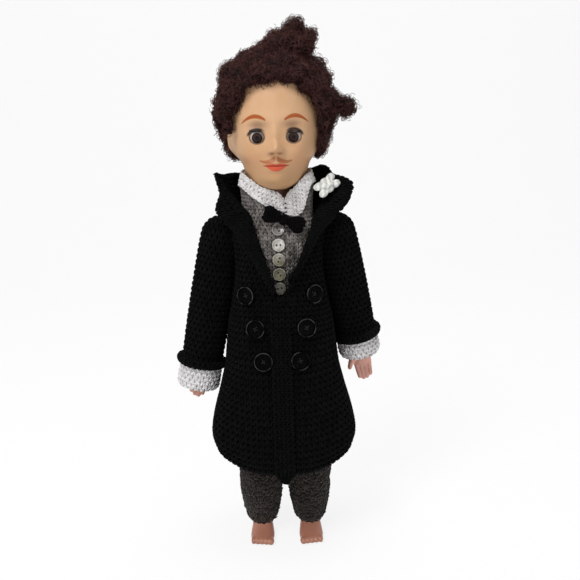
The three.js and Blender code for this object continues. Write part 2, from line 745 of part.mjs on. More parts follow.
// Point of the head at a turn from the front and a share from the chin (-1) to the crown (1)
function headPoint(turn, share, grow, featured) {
  const lift = Math.sin((share * Math.PI) / 2);
  const round = Math.sqrt(Math.max(1 - lift * lift, 0));
  const full = share < 0 ? Math.max(1 - Math.abs(lift) ** 3, 0) ** (1 / 3) : round;
  const rise = HEAD_LOWER + lift * (share < 0 ? HEAD_LOWER + grow : HEAD_UPPER + grow);
  const ahead = Math.cos(turn);
  const depth = ahead > 0 ? (FACE_DEPTH + grow) * full : (SKULL_DEPTH + grow) * round;
  const forward = share < 0 ? CHIN_FORWARD * lift * lift : 0;
  const place = point(Math.sin(turn) * (HEAD_HALF_WIDTH + grow) * round, -ahead * depth - forward, rise);
  if (featured && ahead > 0) {
    for (const [x, up, spreadX, spreadZ, out] of FACE) {
      place.y -= out * hump(place.x, x, spreadX) * hump(place.z, up, spreadZ) * Math.min(1, ahead * 3);
    }
  }
  if (featured) {
    const ear = EAR.out * hump(place.y, EAR.y, EAR.spreadY) * hump(place.z, EAR.rise, EAR.spreadZ);
    place.x += Math.sign(place.x) * ear * Math.min(1, Math.abs(Math.sin(turn)) * 2);
  }
  return place.setZ(place.z + CHIN_HEIGHT);
}

// Head form with its points crowded towards the face
function headForm(grow, featured, sides, lower, upper) {
  const shares = [...steps(-1, 0, lower), ...steps(0, 1, upper).slice(1)];
  const turns = steps(0, 2 * Math.PI, sides).slice(0, sides);
  const crowd = featured ? 0.4 : 0;
  const ring = (share) => turns.map((turn) => headPoint(turn - crowd * Math.sin(turn), share, grow, featured));
  return solid(loft(shares.map(ring)));
}

const HEAD_SIDES = 28;
const HEAD_ROWS = [13, 5];

function eyePlace(side) {
  return [side * EYE_X, EYE_Y, CHIN_HEIGHT + EYE_RISE];
}

// Way through the face for an eye: an oval window and room for the ball
function eyeWindow(side) {
  const [halfWidth, halfHeight] = EYE_OPENING;
  const window = rodZ(1, 0, FAR, 14).scale([halfWidth, halfHeight, 1]).rotate([90, 0, 0]);
  const room = ball(EYE_RADIUS + GAP * 1.5, 12, 8);
  return shifted(join(window, room), ...eyePlace(side));
}

function headShell() {
  const floor = CHIN_HEIGHT + HEAD_FLOOR;
  const hollow = headForm(-HEAD_WALL, false, 14, 5, 4).subtract(box([-FAR, -FAR, 0], [FAR, FAR, floor]));
  const cases = [-1, 1].map((side) => shifted(eyeCaseForm(GAP), ...eyePlace(side)));
  const socket = shifted(rodZ(NECK_RADIUS + GAP, CHIN_HEIGHT - 20, CHIN_HEIGHT + NECK_SEAT), 0, NECK_Y, 0);
  const hole = shifted(rodZ(PLUG_RADIUS + GAP, CHIN_HEIGHT, floor + 1), 0, NECK_Y, 0);
  const shell = headForm(0, true, HEAD_SIDES, ...HEAD_ROWS);
  return biggest(cut(shell, hollow, eyeWindow(-1), eyeWindow(1), ...cases, socket, hole));
}

// Cup behind the eyeball, grown outwards
function eyeCaseForm(grow) {
  const outer = EYE_RADIUS + GAP * 1.5 + EYE_CASE_THICK + grow;
  return ball(outer, 12, 8).subtract(box([-FAR, -FAR, -FAR], [FAR, -2.4 - grow, FAR]));
}

function eyeCase() {
  const inner = ball(EYE_RADIUS + GAP * 1.5, 12, 8);
  const slot = box([-2, 2, -20], [2, 20, 2]);
  const pivots = rodX(AXLE_RADIUS + GAP, -FAR, FAR, 8);
  return cut(eyeCaseForm(0), inner, slot, pivots);
}

// Weight on its stem, behind and below the eyeball, where it holds the eye open
function eyeWeight() {
  const stem = rodZ(1, -EYE_RADIUS - 5, -EYE_RADIUS - GAP, 8);
  const lump = ball(WEIGHT_RADIUS, 8, 6).translate([0, 0, -EYE_RADIUS - 6]);
  return join(stem, lump).rotate([30, 0, 0]);
}

// Strip of lashes along the lid's edge
function eyeLashes(lidAngle) {
  const rings = steps(-33, 33, 8).map((degrees) => {
    const turn = THREE.MathUtils.degToRad(degrees);
    const at = (radius, angle) =>
      point(
        Math.sin(turn) * radius,
        -Math.cos(turn) * Math.cos(angle) * radius,
        Math.cos(turn) * Math.sin(angle) * radius,
      );
    const root = EYE_RADIUS + GAP;
    const end = EYE_RADIUS + 1.4;
    const corners = [[root, 0.04], [end, 0.02], [end, -0.02], [root, -0.04]];
    return corners.map(([radius, above]) => at(radius, lidAngle + above));
  });
  return solid(loft(rings));
}

function addEye(group, side) {
  const name = side > 0 ? "left" : "right";
  const eye = new THREE.Group();
  eye.position.set(...eyePlace(side));
  group.add(eye);
  const bore = rodX(AXLE_RADIUS + GAP, -FAR, FAR, 8);
  const reach = EYE_RADIUS + GAP * 1.5 + EYE_CASE_THICK - 0.4;
  add(eye, `eyeball_${name}`, ball(EYE_RADIUS, 14, 8).subtract(bore), "eye_plastic");
  add(eye, `eye_case_${name}`, eyeCase(), "case_plastic");
  add(eye, `eye_axle_${name}`, rodX(AXLE_RADIUS, -reach, reach, 8), "axle_steel");
  add(eye, `eye_weight_${name}`, eyeWeight(), "weight_metal");
  add(eye, `eye_lashes_${name}`, eyeLashes(LID_ANGLE[side > 0 ? 1 : 0]), "lash_fibre");
}

const HAIR_SIDES = 26;
const HAIR_ROWS = 13;

// Curls as a gentle swell of the hair's outside
function curls(turn, share) {
  const large = 1.6 * Math.sin(7 * turn + 5 * share) * Math.sin(9 * share + 2 * turn);
  return large + 0.8 * Math.sin(11 * turn - 8 * share);
}

function hairForm(grow, sides, rows) {
  const ring = (share) => {
    const lift = Math.sin((share * Math.PI) / 2);
    const squareness = share < 0 ? 2.5 : 2.1;
    const round = Math.max(1 - Math.abs(lift) ** squareness, 0) ** (1 / squareness);
    const rise = HAIR_RISE + lift * (share < 0 ? HAIR_LOWER : HAIR_UPPER + grow);
    return steps(0, 2 * Math.PI, sides).slice(0, sides).map((turn) => {
      const swell = (curls(turn, share) * round + grow) * (round > 0 ? 1 : 0);
      const depth = Math.cos(turn) > 0 ? HAIR_FRONT : HAIR_BACK;
      const across = Math.sin(turn) * (HAIR_HALF_WIDTH * round + swell);
      return point(across, -Math.cos(turn) * (depth * round + swell), CHIN_HEIGHT + rise);
    });
  };
  return solid(loft(steps(-1, 1, rows).map(ring)));
}

// Opening of the hair round the face
function faceWindow() {
  const { halfWidth, arch, depth } = FACE_WINDOW;
  const middle = CHIN_HEIGHT + FACE_WINDOW.middle;
  const top = steps(0, Math.PI, 12).map((turn) => [Math.cos(turn) * halfWidth, middle + Math.sin(turn) * arch]);
  return frontPrism([[halfWidth + 1, 0], ...top, [-halfWidth - 1, 0]], depth);
}

function addHair(group) {
  const outside = hairForm(0, HAIR_SIDES, HAIR_ROWS);
  const skull = headForm(GAP, true, HEAD_SIDES, ...HEAD_ROWS);
  const below = box([-FAR, -FAR, 0], [FAR, FAR, CHIN_HEIGHT + HAIR_END]);
  add(group, "hair_cap", biggest(cut(outside, skull, faceWindow(), below)), "hair_fibre");
  const around = hairForm(GAP, HAIR_SIDES, HAIR_ROWS);
  const knotFoot = CHIN_HEIGHT + HAIR_RISE + HAIR_UPPER - 10.5;
  const knotRows = [
    [0, 17, 15],
    [10, 18, 16],
    [18, 13, 12],
    [26, 9, 9],
    [31, 3, 3],
  ];
  const knot = steps(0, 31, 8).map((z) => {
    const [halfWidth, depth] = along(knotRows, z);
    return oval(z, [halfWidth, depth, depth], 14).map((place, i) => {
      const swell = 1 + 0.09 * Math.sin(2.4 * i + 0.35 * z);
      return point(place.x * swell + 4 + 0.3 * z, place.y * swell - 5, z + knotFoot);
    });
  });
  add(group, "hair_topknot", biggest(cut(solid(loft(knot)), around)), "hair_fibre");
  const curl = ball(SIDE_CURL_RADIUS, 10, 8).scale([1, 1.1, 1]);
  const beside = curl.translate([HAIR_HALF_WIDTH + 2, 2, CHIN_HEIGHT + SIDE_CURL_RISE]);
  add(group, "hair_side_curl", biggest(cut(beside, around)), "hair_fibre");
}

function addHead() {
  const head = new THREE.Group();
  root.add(head);
  add(head, "head_shell", headShell(), "vinyl_skin");
  addEye(head, -1);
  addEye(head, 1);
  addHair(head);
}

// Arms, made for the doll's left about the shoulder and mirrored for its right

const ARM_SIDES = 12;

// Tapered finger hanging along -Z from a point
function finger(x, y, z, length, radius, lean) {
  const rings = [
    [-length, radius * 0.35],
    [-length * 0.92, radius * 0.8],
    [-length * 0.5, radius],
    [2, radius],
  ].map(([drop, size]) => {
    const ring = oval(z + drop, [size, size], 6);
    return ring.map((at) => at.add(point(x - lean * drop, y, 0)));
  });
  return solid(loft(rings));
}

function hand() {
  const lengths = [0.78, 0.95, 1, 0.86];
  const fingers = lengths.map((share, i) => {
    return finger(4.9 - 3.25 * i, 0, -ARM_LENGTH + 1, FINGER_LENGTH * share + 1, 1.75, 0.03 * (1.5 - i));
  });
  const thumb = finger(-6.2, -1, -ARM_LENGTH + 9, 9, 1.9, -0.22);
  return join(...fingers, thumb);
}

function arm() {
  const rings = steps(ARM_LENGTH, 0, 10).map((drop) => oval(-drop, along(ARM, drop), ARM_SIDES));
  const end = domeRings(0, along(ARM, 0), ARM_SIDES, 4);
  const limb = join(solid(loft([...rings, ...end])), hand());
  const inside = CHEST_HALF_WIDTH - BODY_WALL - 4.2;
  const plug = rodX(PLUG_RADIUS, inside - ARM_X, -2, 12);
  const flange = rodX(FLANGE_RADIUS, inside - FLANGE_THICK - ARM_X, inside - ARM_X, 12);
  return join(limb.rotate([0, -THREE.MathUtils.radToDeg(ARM_TILT), 0]), plug, flange);
}

// Hollow round form down the arm, from the top of the shoulder to a length, with a rolled edge
function sleeveForm(radius, length, roll) {
  const dome = steps(0, Math.PI / 2, 4).map((turn) => [Math.sin(turn) * radius, Math.cos(turn) * radius]);
  const outline = [
    ...dome,
    [radius * 0.97, -length * 0.45],
    [radius * 1.02, -length + 6],
    [radius * 1.02 + roll, -length + 3.6],
    [radius * 1.02 + roll, -length + 1.2],
    [radius * 1.02, -length],
    [0, -length],
  ];
  return turned(outline.reverse(), 16);
}

function sleeve(length) {
  const outside = sleeveForm(SLEEVE_RADIUS, length, SLEEVE_ROLL);
  const inside = sleeveForm(SLEEVE_RADIUS - COAT_THICK, length + 12, 0);
  const hollow = outside.subtract(inside).rotate([0, -THREE.MathUtils.radToDeg(ARM_TILT), 0]);
  const armhole = CHEST_HALF_WIDTH + coatInside + COAT_THICK + GAP - ARM_X;
  return hollow.subtract(box([-FAR, -FAR, -FAR], [armhole, FAR, FAR]));
}

function cuff(from, length) {
  const outer = SLEEVE_RADIUS + 0.2;
  const inner = outer - WHITE_THICK;
  const outline = [
    [inner - 1.6, -length + 1],
    [outer - 2.4, -length],
    [outer, -length + 3],
    [outer, -2],
    [outer - 0.8, 0],
    [inner, 0],
    [inner, -length + 4],
    [inner - 1.6, -length + 1],
  ];
  const ring = turned(outline, 16).translate([0, 0, -from - GAP]);
  return ring.rotate([0, -THREE.MathUtils.radToDeg(ARM_TILT), 0]);
}

function addArm(side) {
  const name = side > 0 ? "left" : "right";
  const group = new THREE.Group();
  group.position.set(side * ARM_X, 0, SHOULDER_HEIGHT);
  group.rotation.x = side > 0 ? LEFT_ARM_BACK : 0;
  group.scale.x = side;
  root.add(group);
  add(group, `arm_${name}`, arm(), "limb_plastic");
  add(group, `coat_sleeve_${name}`, sleeve(SLEEVE_LENGTH[name]), "black_yarn");
  add(group, `shirt_cuff_${name}`, cuff(SLEEVE_LENGTH[name], CUFF_LENGTH[name]), "white_yarn");
}

// Legs, made for the doll's left with the hip above x = 0 and mirrored for its right

const LEG_SIDES = 12;
const TROUSER_SIDES = 14;

// Room that the pelvis and the trouser seat over it keep from the legs
function crotchRoom() {
  const radius = TONGUE_RADIUS + 2 * GAP + TROUSER_THICK;
  return shifted(rodX(radius, -FAR, TONGUE_HALF_WIDTH + GAP - HIP_X, 20), 0, 0, HIP_HEIGHT);
}

// Foot from heel to toe, flat underneath
function foot() {
  const rows = [
    [TOE_Y, FOOT_HALF_WIDTH - 0.6, 7],
    [TOE_Y + 8, FOOT_HALF_WIDTH, 10],
    [-8, FOOT_HALF_WIDTH - 0.8, 15.5],
    [0, FOOT_HALF_WIDTH - 1.6, 18],
    [9, FOOT_HALF_WIDTH - 1.8, 14],
    [HEEL_Y, 3.5, 9],
  ];
  const rings = steps(TOE_Y, HEEL_Y, 6).map((y) => {
    const [halfWidth, high] = along(rows, y);
    return oval(y, [halfWidth, high, 3], 12).map((place) => point(place.x, y, -place.y));
  });
  const toes = [-1, -0.45, 0.05, 0.5, 0.9].map((across, i) => {
    const size = i === 0 ? 3.4 : 2.5 - 0.12 * i;
    const ahead = TOE_Y - 2.6 + 0.7 * i;
    const toe = ball(size, 6, 4).scale([0.95, 1.5, 1]);
    return toe.translate([across * (FOOT_HALF_WIDTH - 2.6), ahead, size * 0.8]);
  });
  return join(solid(loft(rings)), ...toes);
}

function leg() {
  const rings = steps(LEG[0][0], HIP_HEIGHT, 8).map((z) => oval(z, along(LEG, z), LEG_SIDES));
  const end = domeRings(HIP_HEIGHT, along(LEG, HIP_HEIGHT), LEG_SIDES, 4);
  const limb = join(solid(loft([...rings, ...end])), foot());
  const inside = TONGUE_HALF_WIDTH - BODY_WALL - GAP - HIP_X;
  const plug = shifted(rodX(PLUG_RADIUS, inside - 1, -6, 12), 0, 0, HIP_HEIGHT);
  const flange = shifted(rodX(FLANGE_RADIUS, inside - FLANGE_THICK, inside, 12), 0, 0, HIP_HEIGHT);
  const floor = box([-FAR, -FAR, -FAR], [FAR, FAR, 0]);
  return join(cut(limb, crotchRoom(), floor), plug, flange);
}

function trouserForm(low, depth) {
  const sizes = (z) => along(TROUSER, z).map((size) => size - depth);
  const rings = steps(low, HIP_HEIGHT, 7).map((z) => oval(z, sizes(z), TROUSER_SIDES));
  return solid(loft([...rings, ...domeRings(HIP_HEIGHT, sizes(HIP_HEIGHT), TROUSER_SIDES, 4)]));
}

function trouserLeg() {
  const outside = trouserForm(TROUSER_HEM, 0);
  const inside = trouserForm(TROUSER_HEM - 1, TROUSER_THICK);
  return biggest(cut(outside, inside, crotchRoom()));
}

function addLeg(side) {
  const name = side > 0 ? "left" : "right";
  const group = new THREE.Group();
  group.position.set(side * HIP_X, 0, 0);
  group.scale.x = side;
  root.add(group);
  add(group, `leg_${name}`, leg(), "limb_plastic");
  add(group, `trouser_leg_${name}`, trouserLeg(), "trouser_yarn");
}

// Seat of the trousers: a band round the body and a strip under the pelvis
function trouserSeat() {
  const band = bodyForm(HIP_HEIGHT + 8, TROUSER_TOP, GAP + TROUSER_THICK);
  const hollow = bodyForm(HIP_HEIGHT + 7, TROUSER_TOP + 1, GAP);
  const strap = tongue(GAP + TROUSER_THICK, TONGUE_HALF_WIDTH).subtract(tongue(GAP, FAR));
  const low = strap.subtract(box([-FAR, -FAR, HIP_HEIGHT + 11], [FAR, FAR, FAR]));
  const room = hipRoom(HIP_SPACE + GAP, TONGUE_HALF_WIDTH + GAP);
  return biggest(cut(join(band.subtract(hollow), low), torsoOutside(GAP), room));
}

// The whole doll
add(root, "torso_shell", torsoShell(), "limb_plastic");
add(root, "trouser_seat", trouserSeat(), "trouser_yarn");
add(root, "waistcoat", waistcoat(), "grey_yarn");
add(root, "shirt_collar", shirtCollar(), "white_yarn");
add(root, "coat_body", coatBody(), "black_yarn");
const collar = add(root, "coat_collar", coatCollar(), "black_yarn");
add(root, "coat_skirt_left", coatSkirt(-BAND_HALF_WIDTH), "black_yarn");
add(root, "coat_skirt_right", coatSkirt(BAND_HALF_WIDTH + GAP).scale([-1, 1, 1]), "black_yarn");
add(root, "coat_front_band", frontBand(), "black_yarn");
addButtons();
addBow();
addFlower(collar);
addHead();
addArm(-1);
addArm(1);
addLeg(-1);
addLeg(1);

export default root;
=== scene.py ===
import itertools
import json
import math
from collections import namedtuple

import bmesh
import bpy
import numpy as np
from mathutils import Matrix, Vector

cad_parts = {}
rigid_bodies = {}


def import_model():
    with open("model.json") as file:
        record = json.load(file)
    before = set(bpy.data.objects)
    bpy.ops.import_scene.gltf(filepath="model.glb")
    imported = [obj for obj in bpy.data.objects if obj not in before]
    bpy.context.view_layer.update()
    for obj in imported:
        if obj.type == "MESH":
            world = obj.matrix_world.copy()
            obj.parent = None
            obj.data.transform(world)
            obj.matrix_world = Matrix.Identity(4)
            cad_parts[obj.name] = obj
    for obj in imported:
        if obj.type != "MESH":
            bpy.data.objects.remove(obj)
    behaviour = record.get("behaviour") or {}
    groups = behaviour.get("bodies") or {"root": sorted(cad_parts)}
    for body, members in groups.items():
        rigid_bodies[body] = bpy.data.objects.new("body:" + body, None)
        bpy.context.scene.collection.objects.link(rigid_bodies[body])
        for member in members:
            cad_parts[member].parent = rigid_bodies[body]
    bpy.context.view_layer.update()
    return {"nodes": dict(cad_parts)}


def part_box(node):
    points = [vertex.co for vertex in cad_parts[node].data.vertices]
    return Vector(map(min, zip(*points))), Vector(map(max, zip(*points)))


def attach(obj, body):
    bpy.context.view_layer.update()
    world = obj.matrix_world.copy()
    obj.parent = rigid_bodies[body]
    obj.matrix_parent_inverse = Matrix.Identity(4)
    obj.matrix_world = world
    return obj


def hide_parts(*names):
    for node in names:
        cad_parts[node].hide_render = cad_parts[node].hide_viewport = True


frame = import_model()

MM = 0.001  # sizes below are in millimetres, as in the part's source
SIDES = {"left": 1, "right": -1}  # the doll's left is on +X

# Heights above the floor
TROUSER_HEM = 8.5
BAND_TAIL = 62
HEM_FRONT = 68
HEM_SIDE = 84
TROUSERS_SEEN = 90  # no stitches above this, inside the coat
HIP = 150
SEAM = 176  # coat body above, coat skirt below
BAND_TOP = 178
WAISTCOAT_FOOT = 181
WAISTCOAT_SEEN = 194  # no stitches below this, inside the coat
NOTCH = 203  # foot of the coat's neck opening
SHOULDER = 245
NECK_SEEN = 252  # stitches all round the waistcoat above this
COLLAR_FOOT = 259.8
COAT_TOP = 262
CHIN = 281.5
WAISTCOAT_TOP = 285
SHIRT_BACK = (284, 292)  # lower and upper edge of the shirt collar behind
HAIR_MIDDLE = 345

# Coat and waistcoat
BODY_SQUARENESS = 3.2
COAT_GROW = 6.0
WAISTCOAT_GROW = 2.5
WAISTCOAT_RIBS = 29  # in half a row
WAISTCOAT_FRONT = -8  # y up to which its front can be seen
NOTCH_EDGE = {1: (5.0, 0.40), -1: (2.0, 0.31)}  # half width at the notch and its growth upwards, by side
BAND_HALF_WIDTH = 7.8
BAND_LIFT = 2.2
FRONT_LAP = {1: -BAND_HALF_WIDTH, -1: -1.0}  # where the closed front edges lie, by side
LAP_LIFT = {1: 1.3, -1: 0}  # the left front lies over the right one
SKIRT_FOLDS = 6
SKIRT_SWAY = 0.02
VENT = 0.4  # half width of the gap in the back of the skirt
NECK_HALF_WIDTH = 27
THROAT_X = 6.0  # the shirt collar's points meet this far to the doll's left

# Arms, sleeves and legs
ARM_X = 43
ARM_TILT = math.radians(11.5)
ARM_BACK = {1: math.radians(9), -1: 0}
ARM_LENGTH = 115
ARM_RADIUS = 9.2
FINGER_LENGTH = {"right": 14.5, "left": 12}
FINGER_SHARES = (0.78, 0.95, 1, 0.86)
FINGER_PITCH = 3.6
FINGER_RADIUS = 2.15
THUMB_RADIUS = 2.6
ARMHOLE_X = 33.4
ARMHOLE_RADIUS = 9.5
ARMHOLE_START = 30  # no stitch nearer the middle lies in an armhole
SLEEVE_RADIUS = 16
SLEEVE_LENGTH = {"right": 103, "left": 88}
CUFF_LENGTH = {"right": 18, "left": 15}
CUFF_OUT = 0.2  # wider than the sleeve
HIP_X = 19.5
TOES = 5
TOE_X = -6.6
TOE_Y = -27.5
TOE_PITCH = 3.5
BIG_TOE = 2.7
SMALL_TOE = 2.1
HEM_GATHERS = 14
HEM_GATHER_DEPTH = 0.5
LEG_CREASES = 3
LEG_CREASE_DEPTH = 0.7
FELT_ASIDE = 0.15  # how far trouser stitches stray from their rows, aside and upwards
FELT_UP = 0.8

# Head and eyes, with rises counted from the chin
HEAD_HALF_WIDTH = 34
HEAD_FRONT = 34
HEAD_BACK = 39
HEAD_MIDDLE = 46.5
HEAD_LOWER = 48.5
HEAD_UPPER = 51.5
HEAD_WALL = 3
CHIN_FORWARD = 8
NECK_HOLE_RADIUS = 10.8
NECK_Y = 2
EYE_X = 12.8
EYE_Y = -22.6
EYE_RISE = 37
EYE_RADIUS = 8.2
EYE_ROOM_RADIUS = 8.65
OPENING_RISE = 36.1  # middle of the eye openings, below that of the eyes
EYE_OPENING = (5.6, 4.8)
WINDOW_FORWARD = 6
WINDOW_HALF_DEPTH = 14
LID_ANGLE = {"right": math.radians(22), "left": math.radians(15)}
LASHES = 25
LASH_SPREAD = 28  # degrees each way
LASH_LENGTH = 3.0
LASH_CURVE = 1.6
LASH_RADIUS = 0.2
EAR = {"y": 3, "rise": 32, "spread_y": 5, "spread_z": 8, "out": 4.5}

# Sections of the body: height, half width, front, back
TORSO = [
    (164, 24, 21, 22),
    (178, 27, 23, 24),
    (196, 25.5, 22, 22),
    (220, 27.3, 24, 23),
    (245, 27.3, 22, 22),
    (256, 21.5, 17, 18),
    (264, 12.5, 12, 13),
]
# Room in the coat by height: all round, then at its sides alone
COAT_EASE = [(SEAM, 6.3), (196, 4.4), (220, 0.6), (250, 0.4), (256, 1.4), (COAT_TOP, 4.8)]
SIDE_SPREAD = [(SEAM, 1.6), (200, 1.2), (214, 0), (236, 0), (248, 3), (256, 5), (COAT_TOP, 3.8)]
# Coat skirt from the seam (0) to the hem (1): half width, front, back
SKIRT = [
    (0, 41, 35.3, 36.3),
    (0.17, 42.8, 37.5, 38.5),
    (0.34, 45, 40.5, 41),
    (0.55, 50, 43.5, 44),
    (0.85, 57, 46.5, 47),
    (1, 53.5, 44.5, 45),
]
# Coat collar: turns round the neck and heights on the lapel at its foot, then its tip behind and by side
COLLAR_TURNS = (np.pi, 2.6, 2.25, 1.95, 1.6)
LAPEL_HEIGHTS = (258, 249, 238, 222, 207)
COLLAR_OUT = 2.4  # how far the foot lies off the waistcoat
LAPEL_INSET = 0.4
LAPEL_LIFT = 0.6
COLLAR_TIP_BACK = (0, 36, 288)
COLLAR_TIP = {
    1: [(22, 32, 291), (33, 20, 293), (37, 5, 294.5), (44, -6, 287.5), (55, -13, 282.5), (47.5, -17.5, 267)],
    -1: [(22, 32, 289), (33, 20, 289.5), (39, 6, 289.8), (47, -7, 290.4), (41, -14, 280), (42.5, -18, 265)],
}
# How far the faces of the collar lie off its foot and tip, and its waves
COLLAR_LIFT = {"upper": 2.4, "under": 0.2, "edge": 1.3, "lining": 2.0}
COLLAR_BULGE = 0.8
COLLAR_WAVE = 1.3
COLLAR_WAVE_TURN = 31  # radians along half the collar
# Tip of the lapel, lying on the coat: distance from the middle, height, how far off the coat
LAPEL_TIP = [(29, 248, 1.2), (17, 229, 0.8), (6, 207, 0.6)]
# Outside of the waistcoat from the chest up round the neck: height, half width, front, back
YOKE = [
    (SHOULDER, 29.8, 24.5, 24.5),
    (256, 27.6, 22, 22.5),
    (264, 26.2, 20.8, 21.6),
    (272, 26.2, 21.6, 22.8),
    (280, 26.8, 24, 25.2),
    (289, 27.8, 27, 28),
]
# Front of the shirt collar by side: share of the way from the throat to the side, lower edge, upper edge
SHIRT_EDGES = {
    1: [(0, 263.2, 271), (0.1, 262.2, 275), (0.2, 261.7, 278), (0.39, 261.9, 281), (0.58, 266.2, 285.2),
        (0.68, 274.5, 287.4), (0.79, 284, 289.4), (1, 286, 291.5)],
    -1: [(0, 264.8, 271), (0.15, 266.4, 276.6), (0.36, 269, 279.6), (0.57, 273.3, 281.8), (0.8, 279.8, 287.4),
         (0.92, 283.6, 290.4), (1, 284.5, 291.5)],
}
# Neck edge of the waistcoat under that collar, by side: height, distance from the middle of the front
WAISTCOAT_EDGES = {
    1: [(248, 0), (258, 5), (262.5, 6.5), (264.5, 14), (274, 19.8), (WAISTCOAT_TOP, 22.8)],
    -1: [(248, 0), (258, -5), (264, -6), (272, 8.4), (283, 23.5), (WAISTCOAT_TOP, 26)],
}
# Arm: distance from the shoulder, half width, half depth
ARM = [
    (0, ARM_RADIUS, ARM_RADIUS),
    (30, 9, 9),
    (56, 8, 8.2),
    (66, 8.2, 8.2),
    (90, 6.7, 6.6),
    (102, 5.6, 5),
    (109, 7.5, 4),
    (ARM_LENGTH, 7.4, 2.4),
]
# Fullness of a sleeve: share of its length, share of its radius
SLEEVE_FULLNESS = [(0.68, 1.04), (0.35, 1.05)]
# Rolled end of a sleeve: out from the sleeve, up from its end
SLEEVE_ROLL = [(-1, 0), (2.6, 1.6), (2.8, 4.6), (-1, 7)]
# Cuff: out from its side, up from its lower end, then up from the end of the sleeve
CUFF_FOLD = [(-3.4, 1.2), (-1.6, 0.4), (0, 3)]
CUFF_TOP = [(0, -4), (-1, 1)]
# Leg: height, half width, front, back
LEG = [
    (12, 7.6, 8, 9),
    (24, 7.8, 8, 9),
    (45, 10.3, 10, 12),
    (75, 11.5, 12, 12),
    (110, 13.5, 14.5, 14.5),
    (HIP, 14.5, 15.5, 15.5),
]
# Foot from the ball to the heel: y, half width, height
FOOT = [(-27, 8.6, 6.2), (-18, 9.5, 9.5), (-8, 8.8, 15.5), (0, 8, 18), (9, 7.6, 14), (15, 3.5, 9)]
# Trouser leg: height, half width, front, back
TROUSER = [
    (TROUSER_HEM, 9.8, 15.4, 11.2),
    (14, 12.8, 16.2, 13.2),
    (24, 15.4, 16.6, 15.6),
    (36, 17.2, 17.6, 17.2),
    (60, 18, 18.3, 18.3),
    (100, 18.4, 19, 19),
    (HIP, 18.6, 19.5, 19.5),
]
# Bumps of the face: distance from its middle, on both sides, rise, spread across, spread up, how far out
FACE = [
    (0, 28, 4.0, 4.2, 7.2),
    (0, 37, 3.2, 7, 2.4),
    (4.0, 26.2, 2.0, 2.0, 2.6),
    (0, 23.6, 4.6, 1.5, -1.5),
    (0, 18.3, 7, 2.0, 2.2),
    (0, 13.9, 5.6, 2.2, 2.2),
    (0, 5.6, 8, 5, 3.5),
    (17, 23, 9, 8, 2),
    (EYE_X, EYE_RISE, 8, 7, -0.9),
    (19.5, EYE_RISE, 5, 8, 2),
    (EYE_X, 44.5, 7, 2.6, -1.3),
]
# Soft spots painted on both sides of the face: aside, spread, rise, spread, strength, colour
FACE_SPOTS = {
    "blush": (17, 9, 20, 8, 0.35, (214, 150, 112)),
    # Painted shade in the hollows over the eyes.
    "shade over the eyes": (12, 7, 44, 3.4, 0.75, (140, 104, 78)),
    # Painted shade in the nostrils.
    "nostrils": (2.7, 1.9, 24.9, 0.9, 0.8, (110, 64, 44)),
}

# Crochet: stitch width, height and thickness, depth of the stitches, depths of the lining, looseness
Cloth = namedtuple("Cloth", "gauge sink lining looseness")
COAT_CLOTH = Cloth((4.4, 4.3, 3.6), 1.5, (1.7, 3.0), 0.12)
BAND_CLOTH = Cloth((4.2, 3.2, 2.6), 1.0, (1.1, 2.0), 0.12)
COLLAR_CLOTH = Cloth((4.4, 4.3, 3.6), 0.9, (0.3, 1.8), 0.12)
ROLL_CLOTH = Cloth((4.1, 3.6, 3.2), 0.8, (1.8, 2.6), 0.12)
CUFF_CLOTH = Cloth((4.4, 3.8, 3.7), 1.1, (0.9, 2.2), 0.16)
TROUSER_CLOTH = Cloth((2.8, 2.6, 1.25), 0.8, (0.8, 2.2), 0.4)
WAISTCOAT_CLOTH = Cloth((3.0, 3.0, 2.6), 0.6, (0.9, 2.1), 0.2)
SHIRT_CLOTH = Cloth((3.4, 3.1, 3.0), 0.6, (0.7, 1.9), 0.2)
SHIRT_INSIDE = SHIRT_CLOTH._replace(sink=-1.8)
BOW_CLOTH = Cloth((2.6, 2.6, 2.0), 0.7, (0.7, 1.5), 0.2)
KNOT_CLOTH = Cloth((2.4, 1.6, 1.6), 0.5, (0.5, 1.4), 0.2)
COLLAR_EDGING = (4.4, 3.6, 4.2)
SHIRT_EDGING = (3.0, 3.0, 3.2)

# Bow tie: its place, and a loop from the knot (0) to its end (1): half height, half depth
BOW_PLACE = Matrix.Translation((4.5, -26.2, 259)) @ Matrix.Rotation(math.radians(22), 4, "Y")
BOW_LOOP = [(0, 2.4, 2.4), (0.3, 4.6, 3.0), (0.7, 6.2, 3.4), (0.92, 4.6, 2.6), (1, 0.6, 0.5)]
BOW_LOOP_LENGTH = 13.6
KNOT_HALF_WIDTH = 2.4
KNOT_RADIUS = 3.9

# Flower: the way it faces, its shift from its CAD node, its slant, half sizes of its petals and bead
FLOWER_OUT = (0.3, -0.8, 0.45)
FLOWER_SHIFT = (0, 0, -1.8)
FLOWER_SLANT = math.radians(52)
PETAL = (4.6, 3.0, 1.9)
PETAL_PITCH = 6.2
PETAL_ASIDE = 2.9
INNER_PETAL = (3.8, 2.3, 1.7)
BEAD = (1.7, 1.7, 1.5)

# Buttons: sizes, number of holes, how far the thread stands proud of the dished middle
Button = namedtuple("Button", "radius thick holes proud")
COAT_BUTTON = Button(7.3, 2.8, 4, 0.15)
WAISTCOAT_BUTTON = Button(4.8, 2.2, 2, -0.5)
# Outline of a button from its back over the rim, in shares of its radius and thickness
BUTTON_RIM = 0.91
BUTTON_DISH = 0.55
BUTTON_OUTLINE = [
    (0.84, 0), (0.97, 0.22), (1, 0.5), (0.97, 0.85),
    (BUTTON_RIM, 1), (0.83, 0.95), (0.75, 0.62), (0.66, BUTTON_DISH),
]
HOLE_RING = 0.28
HOLE_RADIUS = 0.216  # share of the button's radius, over the root of the number of holes
THREAD_RADIUS = 0.32
THREAD_DIP = 0.3
BUTTON_TURN = 1.1  # radians from one button to the next

